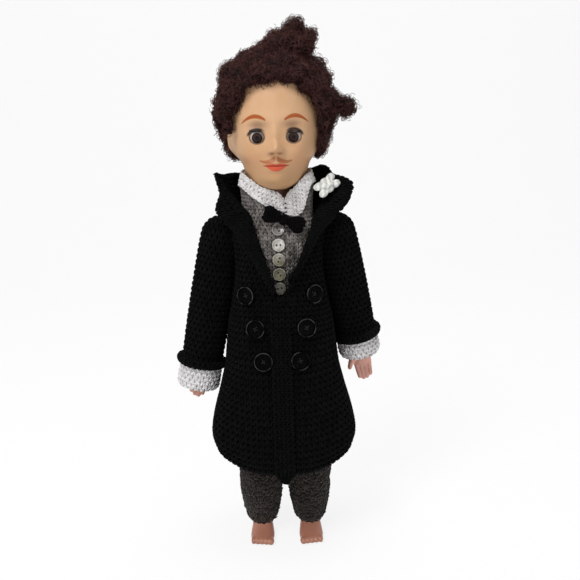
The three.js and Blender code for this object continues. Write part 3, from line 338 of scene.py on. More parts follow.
# Hair: masses under the locks, as middle and half sizes, and locks on a square metre
CAP_MASSES = [
    ((35.5, -2, 358), (9, 11, 11)),
    ((38.5, -2, 349), (7, 10, 9)),
    ((-28, -2, 363), (14, 14, 13)),
    ((27, -2, 370), (12, 13, 9)),
    ((-27.5, -19, 347), (7, 8, 13)),
    ((3, -24, CHIN + 77), (20, 7.5, 6.5)),
]
EAR_ROOM = ((-42, -10, CHIN + 29), (18, 18, 21))
TOPKNOT_MASSES = [
    ((11, -4, 381), (18, 14, 9)),
    ((15.5, -4, 391), (6.6, 7, 7.6)),
    ((26, -4, 386), (5, 6, 5)),
    ((1, -5, 386), (4.5, 6, 4.5)),
]
SIDE_CURL_START = (40, -1, 344)
SIDE_CURL_WAY = (12.5, -1, -8)
SIDE_CURL_RADIUS = 5.6
HEAD_CORE = (0, 2, CHIN + 48)
HEAD_CORE_SIZE = (HEAD_HALF_WIDTH, 37, 50)
CURL_DEPTH = 2.4
LOCK_KINDS = 5
LOCK_LENGTH = (4.5, 8.5)
LOCK_WIDTH = (0.7, 1.4)
LOCK_TURN = (6, 8.5)  # radians along a lock
LOCK_RADIUS = 0.24
LOCK_SCALE = (0.6, 1.25)
LOCK_LEAN = 0.5  # radians
LOCK_SPIN = 3.14  # radians
LOCKS_INWARDS = -0.3  # faces that look further inwards than this carry no locks
HAIR_DENSITY = {"hair_cap": 460000.0, "hair_topknot": 640000.0, "hair_side_curl": 560000.0}

# Seeds of what is random
SEED = {
    "coat_body": 3, "coat_skirt": 11, "band": 21, "collar": 31, "sleeve": 41, "cuff": 51,
    "aside": 60, "trousers": 61, "upwards": 70, "waistcoat": 71, "shirt": 81,
    "bow_loop": 91, "bow_knot": 95, "locks": 5, "hair": 7,
}

# Stage: camera and lamps in metres and watts, floor in millimetres
CAMERA_PLACE = (0, -0.5527, 0.3239)
CAMERA_DOWN = math.radians(12.5)
CAMERA_ROLL = math.radians(-1.7)
CAMERA_LENS = 45.43
CAMERA_SENSOR = 36
CAMERA_SHIFT = 0.0175
# Lamps: place, aim, width, watts
LAMPS = {
    "key": ((-0.6, -0.9, 1.45), (0, 0, 0.25), 0.7, 15.5),
    "fill": ((0.9, -1.2, 0.6), (0, 0, 0.2), 1.2, 1.8),
    "top": ((0.1, 0.1, 1.6), (0, 0, 0.2), 0.8, 9),
}
SKY_STRENGTH = 0.27
FLOOR_PALENESS = 0.85
FLOOR_REACH = 3000
BACKDROP_START = 900
BACKDROP_RADIUS = 600
BACKDROP_TURN = 1.57  # radians
BACKDROP_TOP = 4000

# Values that the mesh code works with
PROBE = 0.004  # step in u and v that the slopes of a surface are measured with
POLE = 1.54  # just under a right angle, so that a ball ends in small caps
ASKEW = (0.31, 0.9, 0.29)  # a way that no rod follows


# Numbers and curves

def along(rows, place):
    """Values at places in a table of rows, smooth between the rows and level beyond them."""
    table = np.asarray(rows, float)
    last = len(table) - 1
    before = table[np.maximum(np.arange(last + 1) - 1, 0)]
    after = table[np.minimum(np.arange(last + 1) + 1, last)]
    slope = (after[:, 1:] - before[:, 1:]) / (after[:, :1] - before[:, :1])
    at = np.clip(place, table[0, 0], table[-1, 0])
    i = np.clip(np.searchsorted(table[:, 0], at) - 1, 0, last - 1)
    span = (table[i + 1, 0] - table[i, 0])[..., None]
    t = (at - table[i, 0])[..., None] / span
    low = table[i, 1:]
    high = table[i + 1, 1:]
    pull = (1 - t) * slope[i] * span - t * slope[i + 1] * span
    return low + (high - low) * t * t * (3 - 2 * t) + t * (1 - t) * pull


def through(points, t):
    """Smooth curve through a few points, at shares of the way along it."""
    rows = [(k / (len(points) - 1), *p) for k, p in enumerate(points)]
    return along(rows, t)


def power(value, exponent):
    """Power that keeps the sign."""
    return np.sign(value) * np.abs(value) ** exponent


def hump(value, middle, spread):
    """Bell of height 1."""
    return np.exp(-(((value - middle) / spread) ** 2))


def ease(value, low, high):
    """Smooth step from 0 at low to 1 at high."""
    t = np.clip((value - low) / (high - low), 0, 1)
    return t * t * (3 - 2 * t)


def full_turn(count):
    """Angles of equally many steps round a circle."""
    return np.linspace(0, 2 * np.pi, count, endpoint=False)


def oval(turn, z, sizes, squareness=2.0):
    """Points of level ovals at a turn from the front towards the doll's left."""
    across = power(np.sin(turn), 2 / squareness)
    ahead = power(np.cos(turn), 2 / squareness)
    depth = np.where(ahead > 0, sizes[..., 1], sizes[..., 2])
    return np.stack([across * sizes[..., 0], -ahead * depth, z + 0 * turn], -1)


def turn_at(x, half_width):
    """Turn from the front at which an oval of the body's squareness reaches x."""
    return np.arcsin(power(np.clip(x / half_width, -0.999, 0.999), BODY_SQUARENESS / 2))


def front_at(x, sizes):
    """How far forward such an oval's front is at x, as y."""
    flat = np.minimum(np.abs(x) / sizes[..., 0], 0.999) ** BODY_SQUARENESS
    return -sizes[..., 1] * (1 - flat) ** (1 / BODY_SQUARENESS)


def unit(vectors):
    """Vectors of length 1."""
    return vectors / np.maximum(np.linalg.norm(vectors, axis=-1, keepdims=True), 1e-9)


def lengths(line):
    """Distance along a line of points, at each of them."""
    return np.append(0, np.cumsum(np.linalg.norm(np.diff(line, axis=0), axis=1)))


def way_out(surface, u, v, out=1):
    """Points, ways along, ways up and ways out of a surface(u, v)."""
    ahead = surface(u + PROBE, v) - surface(u - PROBE, v)
    up = surface(u, v + PROBE) - surface(u, v - PROBE)
    return surface(u, v), ahead, up, unit(np.cross(ahead, up)) * out


# Meshes

def link(name, mesh):
    """Object for a mesh, in the scene."""
    obj = bpy.data.objects.new(name, mesh)
    bpy.context.scene.collection.objects.link(obj)
    return obj


def new_object(name, points, faces, material=None):
    """Smooth mesh object with its faces turned outwards, from points in millimetres."""
    mesh = bpy.data.meshes.new(name)
    mesh.from_pydata((np.asarray(points, float) * MM).tolist(), [], faces)
    work = bmesh.new()
    work.from_mesh(mesh)
    bmesh.ops.recalc_face_normals(work, faces=work.faces)
    work.to_mesh(mesh)
    work.free()
    mesh.shade_smooth()
    if material:
        mesh.materials.append(material)
    return link(name, mesh)


def settle(obj):
    """Gives the object a plain mesh of what its modifiers make."""
    seen = obj.evaluated_get(bpy.context.evaluated_depsgraph_get())
    mesh = bpy.data.meshes.new_from_object(seen)
    obj.modifiers.clear()
    obj.data = mesh
    mesh.name = obj.name


def drop(obj):
    """Deletes an object that only helped to make others."""
    bpy.data.objects.remove(obj)


def wear(obj, body, slot, *nodes):
    """Puts a finished piece on its body, in place of its CAD nodes."""
    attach(obj, body)
    if nodes:
        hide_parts(*nodes)


def wear_half(obj, side, slot, node):
    """Puts half of a garment on the torso. The left half stands for the CAD node."""
    wear(obj, "torso", slot, *([node] if side > 0 else []))


def paint(node, look):
    """Gives a material to a CAD node that keeps its shape."""
    materials = frame["nodes"][node].data.materials
    materials.clear()
    materials.append(look)


def vertices_of(mesh):
    """Points of a mesh in millimetres."""
    return np.array([v.co for v in mesh.vertices]) / MM


def node_points(name):
    """Points, in millimetres, and faces of a CAD node."""
    mesh = frame["nodes"][name].data
    return vertices_of(mesh), [list(p.vertices) for p in mesh.polygons]


def grid_faces(rows, columns, wrap=False):
    """Quads between points stored row by row."""
    last = columns if wrap else columns - 1
    r, c = np.meshgrid(np.arange(rows - 1), np.arange(last), indexing="ij")
    a = r * columns + c
    b = r * columns + (c + 1) % columns
    return np.stack([a, b, b + columns, a + columns], -1).reshape(-1, 4).tolist()


def loft(rings):
    """Closed body through rings of equally many points."""
    rings = np.asarray(rings, float)
    rows, sides = rings.shape[:2]
    faces = grid_faces(rows, sides, wrap=True)
    faces.append(list(range(sides))[::-1])
    faces.append(list(range((rows - 1) * sides, rows * sides)))
    return rings.reshape(-1, 3), faces


def merged(parts):
    """Several bodies as one list of points and faces."""
    points = []
    faces = []
    start = 0
    for some, others in parts:
        points.append(np.asarray(some, float))
        faces += [[i + start for i in face] for face in others]
        start += len(some)
    return np.concatenate(points), faces


def ball(middle, radii, columns=20, rows=12):
    """Ellipsoid."""
    lift = np.linspace(-POLE, POLE, rows)[:, None]
    turn = full_turn(columns)[None, :]
    round_way = [np.cos(lift) * np.cos(turn), np.cos(lift) * np.sin(turn), np.sin(lift) + 0 * turn]
    return loft(np.stack(round_way, -1) * np.asarray(radii) + np.asarray(middle))


def rod(path, radii, sides=10):
    """Round body along a path of points, with rounded ends."""
    path = np.asarray(path, float)
    ways = unit(np.gradient(path, axis=0))
    aside = unit(np.cross(ways, np.array(ASKEW)))
    other = np.cross(ways, aside)
    turn = full_turn(sides)
    radii = np.broadcast_to(np.asarray(radii, float), len(path))
    round_way = np.cos(turn)[:, None] * aside[:, None] + np.sin(turn)[:, None] * other[:, None]
    rings = path[:, None] + round_way * radii[:, None, None]
    first = path[0] - ways[0] * radii[0] * 0.7 + round_way[0] * radii[0] * 0.5
    last = path[-1] + ways[-1] * radii[-1] * 0.7 + round_way[-1] * radii[-1] * 0.5
    return loft(np.concatenate([first[None], rings, last[None]]))


def turned(outline, sides=40):
    """Body turned about +Z from an outline of radius and height."""
    outline = np.asarray(outline, float)
    x = outline[:, :1] * np.cos(full_turn(sides))
    y = outline[:, :1] * np.sin(full_turn(sides))
    return loft(np.stack([x, y, outline[:, 1:] + 0 * x], -1))


def slab(surface, grid, depths, out=1, wrap=False):
    """Closed sheet between two depths under a surface, on a grid of columns and rows."""
    columns, rows = grid
    outer, inner = depths
    u, v = np.meshgrid(np.linspace(0, 1, columns, endpoint=not wrap), np.linspace(0, 1, rows))
    normal = way_out(surface, u if wrap else np.clip(u, 0.005, 0.995), v, out)[3]
    place = surface(u, v)
    count = rows * columns
    points = np.concatenate([place - normal * outer, place - normal * inner]).reshape(-1, 3)
    top = grid_faces(rows, columns, wrap)
    faces = top + [[i + count for i in face[::-1]] for face in top]
    edges = [np.arange(columns), np.arange(columns) + count - columns]
    if wrap:
        edges = [np.append(edge, edge[0]) for edge in edges]
    else:
        edges += [np.arange(rows) * columns, np.arange(rows) * columns + columns - 1]
    for edge in edges:
        for a, b in zip(edge[:-1].tolist(), edge[1:].tolist()):
            faces.append([a, b, b + count, a + count])
    return points, faces


def placed(points, matrix):
    """Points in millimetres moved by a matrix in millimetres."""
    return np.asarray(points, float) @ np.asarray(matrix.to_3x3()).T + np.asarray(matrix.translation)


def facing(place, out):
    """Matrix that stands a body made on z = 0 at a place, facing a way."""
    turn = Vector((0, 0, 1)).rotation_difference(Vector(out)).to_matrix().to_4x4()
    return Matrix.Translation(Vector(place)) @ turn


def fused(name, parts, voxel, rounds, material=None):
    """One smooth skin over several closed parts that run into each other."""
    obj = new_object(name, *merged(parts), material)
    remesh = obj.modifiers.new("skin", "REMESH")
    remesh.mode = "VOXEL"
    remesh.voxel_size = voxel * MM
    remesh.use_smooth_shade = True
    soft = obj.modifiers.new("soft", "SMOOTH")
    soft.factor = 0.5
    soft.iterations = rounds
    settle(obj)
    return obj


def cut_away(obj, tools):
    """Cuts closed tools out of a closed object and drops the tools."""
    for tool in tools:
        cut = obj.modifiers.new("cut", "BOOLEAN")
        cut.operation = "DIFFERENCE"
        cut.solver = "EXACT"
        cut.object = tool
    settle(obj)
    for tool in tools:
        drop(tool)


def push(obj, amount):
    """Moves a mesh's points along their normals by amount(points, normals), in millimetres."""
    mesh = obj.data
    points = vertices_of(mesh)
    normals = np.array([v.normal for v in mesh.vertices])
    moved = points + normals * amount(points, normals)[:, None]
    mesh.vertices.foreach_set("co", (moved * MM).astype(np.float32).ravel())
    mesh.update()


# Shaders

def srgb(red, green, blue):
    """Colour given as a screen shows it, from 0 to 255."""
    def linear(value):
        share = value / 255
        return share / 12.92 if share < 0.04045 else ((share + 0.055) / 1.055) ** 2.4

    return linear(red), linear(green), linear(blue), 1.0


def maths(operation, *values):
    """Math node on wires and plain numbers."""
    wire = next(value for value in values if isinstance(value, Wire))
    return wire.node("ShaderNodeMath", dict(enumerate(values)), operation=operation)


class Wire:
    """A value in a node tree, with ordinary arithmetic. Plain numbers mix with it."""

    def __init__(self, tree, socket):
        self.tree = tree
        self.socket = socket

    def feed(self, socket, value):
        """Connects a wire to a socket, or sets a plain value on it."""
        if isinstance(value, Wire):
            self.tree.links.new(value.socket, socket)
        else:
            socket.default_value = value

    def node(self, kind, inputs, output=0, **settings):
        """A new node of any kind with its settings, fed with wires or plain values."""
        made = self.tree.nodes.new(kind)
        for name, value in settings.items():
            setattr(made, name, value)
        for name, value in inputs.items():
            self.feed(made.inputs[name], value)
        return Wire(self.tree, made.outputs[output])

    def other(self, output):
        """Another output of the node that this value comes from."""
        return Wire(self.tree, self.socket.node.outputs[output])

    def __add__(self, other):
        return maths("ADD", self, other)

    __radd__ = __add__

    def __sub__(self, other):
        return maths("SUBTRACT", self, other)

    def __rsub__(self, other):
        return maths("SUBTRACT", other, self)

    def __mul__(self, other):
        return maths("MULTIPLY", self, other)

    __rmul__ = __mul__

    def __truediv__(self, other):
        return maths("DIVIDE", self, other)

    def __rtruediv__(self, other):
        return maths("DIVIDE", other, self)

    def __pow__(self, other):
        return maths("POWER", self, other)

    def __abs__(self):
        return maths("ABSOLUTE", self)

    def step(self, low, high):
        """Smooth step from 0 at low to 1 at high, which may lie below low."""
        inputs = {"Value": self, "From Min": low, "From Max": high}
        return self.node("ShaderNodeMapRange", inputs, interpolation_type="SMOOTHSTEP")

    def hump(self, middle, spread):
        """Bell of height 1."""
        share = (self - middle) / spread
        return maths("EXPONENT", share * share * -1)

    def mix(self, first, second):
        """Colour between two, by this share."""
        return self.node("ShaderNodeMix", {0: self, 6: first, 7: second}, output=2, data_type="RGBA")

    def noise(self, scale, detail):
        """Cloudy noise over these coordinates."""
        return self.node("ShaderNodeTexNoise", {"Vector": self, "Scale": scale, "Detail": detail})

    def bump(self, strength, distance):
        """Normals of a surface with this height."""
        return self.node("ShaderNodeBump", {"Height": self, "Strength": strength, "Distance": distance})


def start_material(name, **constants):
    """New material with plain values on its sockets, its shader, and the object's own coordinates."""
    material = bpy.data.materials.new(name)
    material.use_nodes = True
    tree = material.node_tree
    shader = tree.nodes["Principled BSDF"]
    for socket, value in constants.items():
        shader.inputs[socket.replace("_", " ")].default_value = value
    place = Wire(tree, shader.outputs[0]).node("ShaderNodeTexCoord", {}, output="Object")
    return material, shader, place


def dress(place, shader, **varying):
    """Connects what varies over a surface."""
    for socket, wire in varying.items():
        place.feed(shader.inputs[socket.replace("_", " ")], wire)


def attribute(place, name):
    """Value that a mesh carries at its points."""
    return place.node("ShaderNodeAttribute", {}, output=2, attribute_name=name)


def axes_of(place):
    """Wires of x, y and z in millimetres."""
    return [place.node("ShaderNodeSeparateXYZ", {0: place}, output=i) / MM for i in range(3)]


def yarn(name, dark, light, fleck=None, sheen=0.2, shine=0.2, variety=0.5, painted_shade_span=None):
    """Spun yarn: each stitch has its own tone, with fine fibres over it. The lining takes the darkest tone:
    painted shade.

    A fleck is a colour and its share. The last gives two heights between which the yarn is painted darker:
    painted shade."""
    material, shader, place = start_material(
        name, Roughness=0.9, Sheen_Weight=sheen, Sheen_Roughness=0.5, Specular_IOR_Level=shine,
    )
    fibres = place.noise(1900, 3)
    patches = place.noise(160, 2)
    shade = attribute(place, "shade")
    # The lining has no tone, so it takes the darkest colour: painted shade in the gaps between stitches.
    stitch = shade.step(0, 0.1) * (shade * variety + (0.5 - variety / 2))
    blend = stitch + fibres * 0.45 + patches * 0.3 - 0.3
    # Painted shade: darker between the two heights.
    if painted_shade_span:
        blend = blend - axes_of(place)[2].step(*painted_shade_span) * 0.38
    colour = blend.step(0, 1).mix(dark, light)
    if fleck:
        tint, share = fleck
        spots = place.noise(700, 1).step(1 - share, 1 - share + 0.06)
        colour = spots.mix(colour, tint)
    dress(place, shader, Base_Color=colour, Normal=fibres.bump(0.45, 0.0006))
    return material


def hair_material():
    """Dull auburn-brown fibre: each lock has its own tone, over a mass painted dark as shade deep in the
    hair.
    """
    material, shader, place = start_material("hair_fibre_look", Roughness=0.65, Specular_IOR_Level=0.12)
    # The forms carry no tone, so they take the darkest colour: painted shade under the locks.
    blend = attribute(place, "shade") * 0.75 + place.noise(90, 3) * 0.6 - 0.2
    colour = blend.step(0, 1).mix(srgb(19, 9, 8), srgb(92, 58, 54))
    dress(place, shader, Base_Color=colour, Normal=place.noise(2400, 2).bump(0.3, 0.0004))
    return material


def mottled(place, scale, base, tint):
    """Colour of moulded plastic with faint clouds in it."""
    return place.noise(scale, 4).step(0.3, 0.75).mix(base, tint)


def case_material():
    """Satin plastic of the eye cases."""
    material, shader, place = start_material(
        "case_plastic_look", Roughness=0.5, Coat_Weight=0.08, Coat_Roughness=0.3,
    )
    colour = mottled(place, 60, srgb(214, 206, 192), srgb(200, 190, 174))
    rough = place.noise(60, 4) * 0.16 + 0.42
    dress(place, shader, Base_Color=colour, Roughness=rough, Normal=place.noise(900, 2).bump(0.06, 0.0003))
    return material


def limb_material():
    """Satin limb plastic, with painted shade making it browner and darker at the feet."""
    material, shader, place = start_material(
        "limb_plastic_look", Roughness=0.42, Coat_Weight=0.1, Coat_Roughness=0.3,
    )
    tone = mottled(place, 55, srgb(234, 174, 156), srgb(220, 154, 138))
    # Painted shade: browner and darker towards the feet.
    colour = axes_of(place)[2].step(40, 12).mix(tone, srgb(178, 120, 98))
    dress(place, shader, Base_Color=colour, Normal=place.noise(900, 2).bump(0.06, 0.0003))
    return material


def metal(name, base, tint, roughness):
    """Bare metal with a fine grain."""
    material, shader, place = start_material(name, Metallic=1.0)
    grain = place.noise(500, 3)
    rough = grain * 0.2 + (roughness - 0.1)
    dress(place, shader, Base_Color=grain.mix(base, tint), Roughness=rough, Normal=grain.bump(0.08, 0.0003))
    return material


def stroke(x, rise, middle, thick, start, end):
    """Painted stroke along a curve, between two distances from the face's middle."""
    body = (abs(rise - middle) / thick).step(1.15, 0.6)
    return body * x.step(start - 0.6, start + 0.6) * x.step(end + 0.6, end - 0.6)


def lips(x, rise):
    """Bowed upper lip and fuller lower lip."""
    top = 18.3 - x * x * 0.022 - x.hump(0, 1.5) * 0.7
    low = 12.6 + x * x * 0.066
    return (top - rise).step(-0.5, 0.5) * (rise - low).step(-0.6, 0.6) * x.step(9.3, 8.2)


def face_material():
    """Vinyl skin with painted brows, lash lines, moustache, lips, blush, and painted shade at eyes, nostrils
    and chin.
    """
    material, shader, place = start_material("vinyl_skin_look", Roughness=0.45, Specular_IOR_Level=0.3)
    across, depth, height = axes_of(place)
    x = abs(across)
    rise = height - CHIN
    front = depth.step(-4, -12)
    painted = []
    # Soft spots: blush, and painted shade over the eyes and in the nostrils.
    for aside, spread_x, up, spread_z, strength, colour in FACE_SPOTS.values():
        painted.append((x.hump(aside, spread_x) * rise.hump(up, spread_z) * strength, srgb(*colour)))
    arch = (x - 14) ** 2
    brows = stroke(x, rise, 50.5 - arch * 0.05, 1.6 - arch * 0.013, 6.6, 23.5)
    sweep = (x - 7.2) ** 2
    moustache = stroke(x, rise, 19.2 + sweep * 0.055, 2.4 - x * 0.16, 0.7, 11.4) * 0.8
    mouth_line = stroke(x, rise, 16.3 + x * 0.02, 0.62 - x * 0.035, -2, 9)
    window = ((x - EYE_X) / EYE_OPENING[0]) ** 2 + ((rise - OPENING_RISE) / EYE_OPENING[1]) ** 2
    over_eye = rise.step(OPENING_RISE, OPENING_RISE + 2.5) * x.step(EYE_X - 7, EYE_X - 2)
    lash_line = window.step(2.1, 1.5) * over_eye
    rim = window.step(1.2, 1.04) * 0.45
    skin = mottled(place, 45, srgb(224, 180, 140), srgb(214, 168, 126))
    # Painted shade: the skin grows darker and duller from the brows down to the chin.
    skin = (rise.step(50, 4) * 0.65).mix(skin, srgb(180, 139, 97))
    painted += [
        (brows, srgb(172, 88, 36)),
        (moustache, srgb(168, 94, 52)),
        (lips(x, rise), srgb(208, 88, 58)),
        (mouth_line, srgb(150, 48, 34)),
        (lash_line, srgb(30, 18, 14)),
        (rim, srgb(112, 72, 54)),
    ]
    for mask, colour in painted:
        skin = (mask * front).mix(skin, colour)
    dress(place, shader, Base_Color=skin, Normal=place.noise(700, 2).bump(0.05, 0.0003))
    return material


def eye_material(name, side):
    """Eyeball: white, brown iris with rays, pupil, and the skin-coloured lid on its upper part."""
    material, shader, place = start_material(
        f"eye_{name}_look", Roughness=0.2, Coat_Weight=0.2, Coat_Roughness=0.03, Specular_IOR_Level=0.1,
    )
    across, depth, height = axes_of(place)
    x = (across - side * EYE_X) / EYE_RADIUS
    y = (depth - EYE_Y) / EYE_RADIUS
    z = (height - CHIN - EYE_RISE) / EYE_RADIUS
    low = z + 0.15
    reach = maths("SQRT", x * x + low * low)
    spin = maths("ARCTAN2", low, x)
    turning = {"W": spin * 5, "Scale": 2.2, "Detail": 3.0}
    rays = spin.node("ShaderNodeTexNoise", turning, noise_dimensions="1D")
    iris = rays.step(0.3, 0.7).mix(srgb(26, 14, 13), srgb(74, 46, 40))
    iris = reach.step(0.3, 0.44).mix(iris, srgb(14, 8, 8))
    white = place.noise(300, 2).mix(srgb(196, 180, 168), srgb(216, 204, 194))
    colour = reach.step(0.44, 0.47).mix(iris, white)
    colour = reach.step(0.19, 0.17).mix(colour, srgb(6, 5, 5))
    over_lid = z + y * math.tan(LID_ANGLE[name])
    colour = over_lid.step(-0.01, 0.02).mix(colour, srgb(196, 150, 118))
    colour = over_lid.hump(0, 0.045).mix(colour, srgb(30, 20, 16))
    colour = y.step(0.1, 0.2).mix(colour, srgb(206, 170, 140))
    dress(place, shader, Base_Color=colour, Normal=place.noise(400, 1).bump(0.01, 0.0002))
    return material


def rim_highlight(place):
    """Where the rim of a button is painted pale: a painted highlight."""
    return attribute(place, "rim") * place.noise(170, 2).step(0.36, 0.6)


def pearl_material():
    """Shell buttons: silver-white high in the row, olive lower down, and painted shade at both ends of the
    row.
    """
    material, shader, place = start_material(
        "pearl_button_look", Roughness=0.25, Coat_Weight=0.3, Coat_Roughness=0.1,
    )
    height = axes_of(place)[2]
    cloud = place.noise(260, 3)
    silver = cloud.step(0.3, 0.7).mix(srgb(158, 154, 146), srgb(212, 210, 204))
    olive = cloud.step(0.3, 0.7).mix(srgb(68, 62, 42), srgb(112, 106, 76))
    colour = height.step(240, 226).mix(silver, olive)
    # Painted shade: the lowest buttons get darker.
    colour = height.step(224, 206).mix(colour, srgb(54, 50, 32))
    # Painted shadow of the bow tie: the top button is dimmed to grey.
    colour = height.step(245, 249).mix(colour, srgb(126, 122, 118))
    # Painted highlight on the rim.
    colour = (rim_highlight(place) * 0.7).mix(colour, srgb(214, 212, 200))
    dress(place, shader, Base_Color=colour, Normal=cloud.bump(0.05, 0.0003))
    return material


def gloss_material(name, base, tint, rim, **constants):
    """Glossy button or petal with a cloudy depth and a painted highlight on its rim."""
    material, shader, place = start_material(name, Coat_Roughness=0.08, **constants)
    cloud = place.noise(240, 3)
    waves = {"Vector": place, "Scale": 90.0, "Distortion": 6.0, "Detail": 2.0}
    bands = place.node("ShaderNodeTexWave", waves, output=1)
    colour = (cloud * 0.6 + bands * 0.4).step(0.3, 0.75).mix(base, tint)
    # Painted highlight on the rim, in the rim colour.
    colour = (rim_highlight(place) * 0.8).mix(colour, rim)
    dress(place, shader, Base_Color=colour, Normal=cloud.bump(0.05, 0.0003))
    return material


# Geometry trees

def tree_with(name, sockets):
    """Wires of a new geometry tree's named inputs, the geometry among them."""
    tree = bpy.data.node_groups.new(name, "GeometryNodeTree")
    tree.interface.new_socket("Geometry", in_out="INPUT", socket_type="NodeSocketGeometry")
    for socket, kind in sockets.items():
        tree.interface.new_socket(socket, in_out="INPUT", socket_type=kind)
    tree.interface.new_socket("Geometry", in_out="OUTPUT", socket_type="NodeSocketGeometry")
    outputs = tree.nodes.new("NodeGroupInput").outputs
    return {name: Wire(tree, outputs[name]) for name in ("Geometry", *sockets)}


def random_value(seed, low, high, kind="FLOAT"):
    """Random value for each point."""
    first, output = {"FLOAT_VECTOR": (0, 0), "FLOAT": (2, 1), "INT": (4, 2)}[kind]
    inputs = {first: low, first + 1: high, "Seed": seed}
    return seed.node("FunctionNodeRandomValue", inputs, output, data_type=kind)


def point_vector(wire, name):
    """Vector that a point carries."""
    return wire.node("GeometryNodeInputNamedAttribute", {"Name": name}, data_type="FLOAT_VECTOR")


def turned_by(rotation, angles):
    """Rotation turned further in its own frame."""
    turn = angles.node("FunctionNodeEulerToRotation", {0: angles})
    inputs = {"Rotation": rotation, "Rotate By": turn}
    return rotation.node("FunctionNodeRotateRotation", inputs, rotation_space="LOCAL")


def finish_tree(given, instances, *backing):
    """Gives each instance a shade, adds any backing, makes all of it real and sets the material."""
    inputs = {"Geometry": instances, "Name": "shade", "Value": random_value(given["Seed"], 0.12, 1.0)}
    shaded = instances.node("GeometryNodeStoreNamedAttribute", inputs, data_type="FLOAT", domain="INSTANCE")
    joined = shaded.node("GeometryNodeJoinGeometry", {})
    for geometry in (shaded, *backing):
        joined.feed(joined.socket.node.inputs["Geometry"], geometry)
    real = joined.node("GeometryNodeRealizeInstances", {"Geometry": joined})
    done = real.node("GeometryNodeSetMaterial", {"Geometry": real, "Material": given["Material"]})
    done.feed(done.tree.nodes.new("NodeGroupOutput").inputs[0], done)
    return done.tree


def grow(obj, tree, values):
    """Runs a geometry tree on an object and keeps its plain mesh."""
    modifier = obj.modifiers.new(tree.name, "NODES")
    modifier.node_group = tree
    for item in tree.interface.items_tree:
        if item.in_out == "INPUT" and item.name in values:
            modifier[item.identifier] = values[item.name]
    settle(obj)
    for key in ("out", "up", "size"):
        layer = obj.data.attributes.get(key)
        if layer:
            obj.data.attributes.remove(layer)
    obj.data.shade_smooth()


# Crochet

def stitch_source():
    """One V of yarn, one metre wide and high before it is scaled: two plump legs that lean apart."""
    t = np.linspace(0, 1, 4)
    turn = full_turn(5) + 0.3
    ring = np.stack([np.cos(turn), np.zeros(5), np.sin(turn)], -1)
    radius = 0.26 * np.sin(np.pi * (0.18 + 0.68 * t)) ** 0.6
    parts = []
    for lean in (-1, 1):
        middle = np.stack([lean * (0.14 + 0.24 * t), -0.5 + 1.02 * t, 0.2 * np.sin(np.pi * t)], -1)
        parts.append(loft(middle[:, None] + ring[None] * radius[:, None, None]))
    obj = new_object("stitch_source", *merged(parts))
    obj.data.transform(Matrix.Scale(1 / MM, 4))
    return obj


def crochet_tree():
    """One stitch on each point, turned to the cloth, over a backing."""
    sockets = {"Stitch": "NodeSocketObject", "Backing": "NodeSocketObject", "Material": "NodeSocketMaterial",
               "Looseness": "NodeSocketFloat", "Seed": "NodeSocketInt"}
    given = tree_with("crochet", sockets)
    seed = given["Seed"]
    stitch = seed.node("GeometryNodeObjectInfo", {"Object": given["Stitch"]}, output="Geometry")
    backing = seed.node("GeometryNodeObjectInfo", {"Object": given["Backing"]}, output="Geometry")
    flat = seed.node("FunctionNodeAlignRotationToVector", {"Vector": point_vector(seed, "out")}, axis="Z")
    upwards = {"Rotation": flat, "Vector": point_vector(seed, "up")}
    upright = seed.node("FunctionNodeAlignRotationToVector", upwards, axis="Y", pivot_axis="Z")
    swing = random_value(seed, (-1, -1, -1), (1, 1, 1), "FLOAT_VECTOR")
    loose = seed.node("ShaderNodeVectorMath", {0: swing, "Scale": given["Looseness"]}, operation="SCALE")
    spread = {"Points": given["Geometry"], "Instance": stitch, "Rotation": turned_by(upright, loose),
              "Scale": point_vector(seed, "size")}
    return finish_tree(given, seed.node("GeometryNodeInstanceOnPoints", spread), backing)


def row_lines(surface, height, level, fine):
    """Ways across the surface that the rows of stitches follow: v for each place in fine."""
    if level:
        across = surface(fine, np.ones_like(fine)) - surface(fine, np.zeros_like(fine))
        reach = np.linalg.norm(across, axis=-1)
        rows = int(math.ceil(reach.max() / height))
        return [1 - (row + 0.5) * height / reach for row in range(rows)]
    column = surface(np.full(40, 0.5), np.linspace(0, 1, 40))
    rows = max(int(round(lengths(column)[-1] / height)), 1)
    return [np.full_like(fine, (row + 0.5) / rows) for row in range(rows)]


def courses(surface, cloth, out=1, wrap=False, keep=None, level=False, ribs=None, plump=1.06):
    """Rows of stitches over a surface: places, ways out, ways up and sizes, in millimetres.

    Level rows run at even distances from the edge v = 1. Ribs fix the number of stitches in a row."""
    width, height, thick = cloth.gauge
    fine = np.linspace(0, 1, 260)
    lines = row_lines(surface, height, level, fine)
    found = []
    for row, heights in enumerate(lines):
        line = surface(fine, heights)
        run = lengths(line)
        count = ribs or max(int(round(run[-1] / width)), 1)
        lead = 0.5 if wrap and row % 2 and not ribs else 0.0
        u = np.interp((np.arange(count) + 0.5 + lead) / count % 1 * run[-1], run, fine)
        v = np.interp(u, fine, heights)
        place, _, up, normal = way_out(surface, u, v, out)
        flow = np.gradient(line, axis=0)
        flow = unit(np.stack([np.interp(u, fine, flow[:, k]) for k in range(3)], -1))
        square = unit(np.cross(normal, flow))
        rise = (square * up).sum(-1, keepdims=True)
        square = square * np.sign(rise)
        tall = np.full_like(u, height) if level else np.abs(rise[:, 0]) / (2 * PROBE) / len(lines)
        size = np.stack([np.full_like(u, run[-1] / count) * plump, tall * plump, np.full_like(u, thick)], -1)
        stitches = np.concatenate([place - normal * cloth.sink, normal, square, size], -1)
        found.append(stitches[(v > 0.01) & (v < 1)])
    found = np.concatenate(found)
    return found if keep is None else found[keep(found[:, :3])]


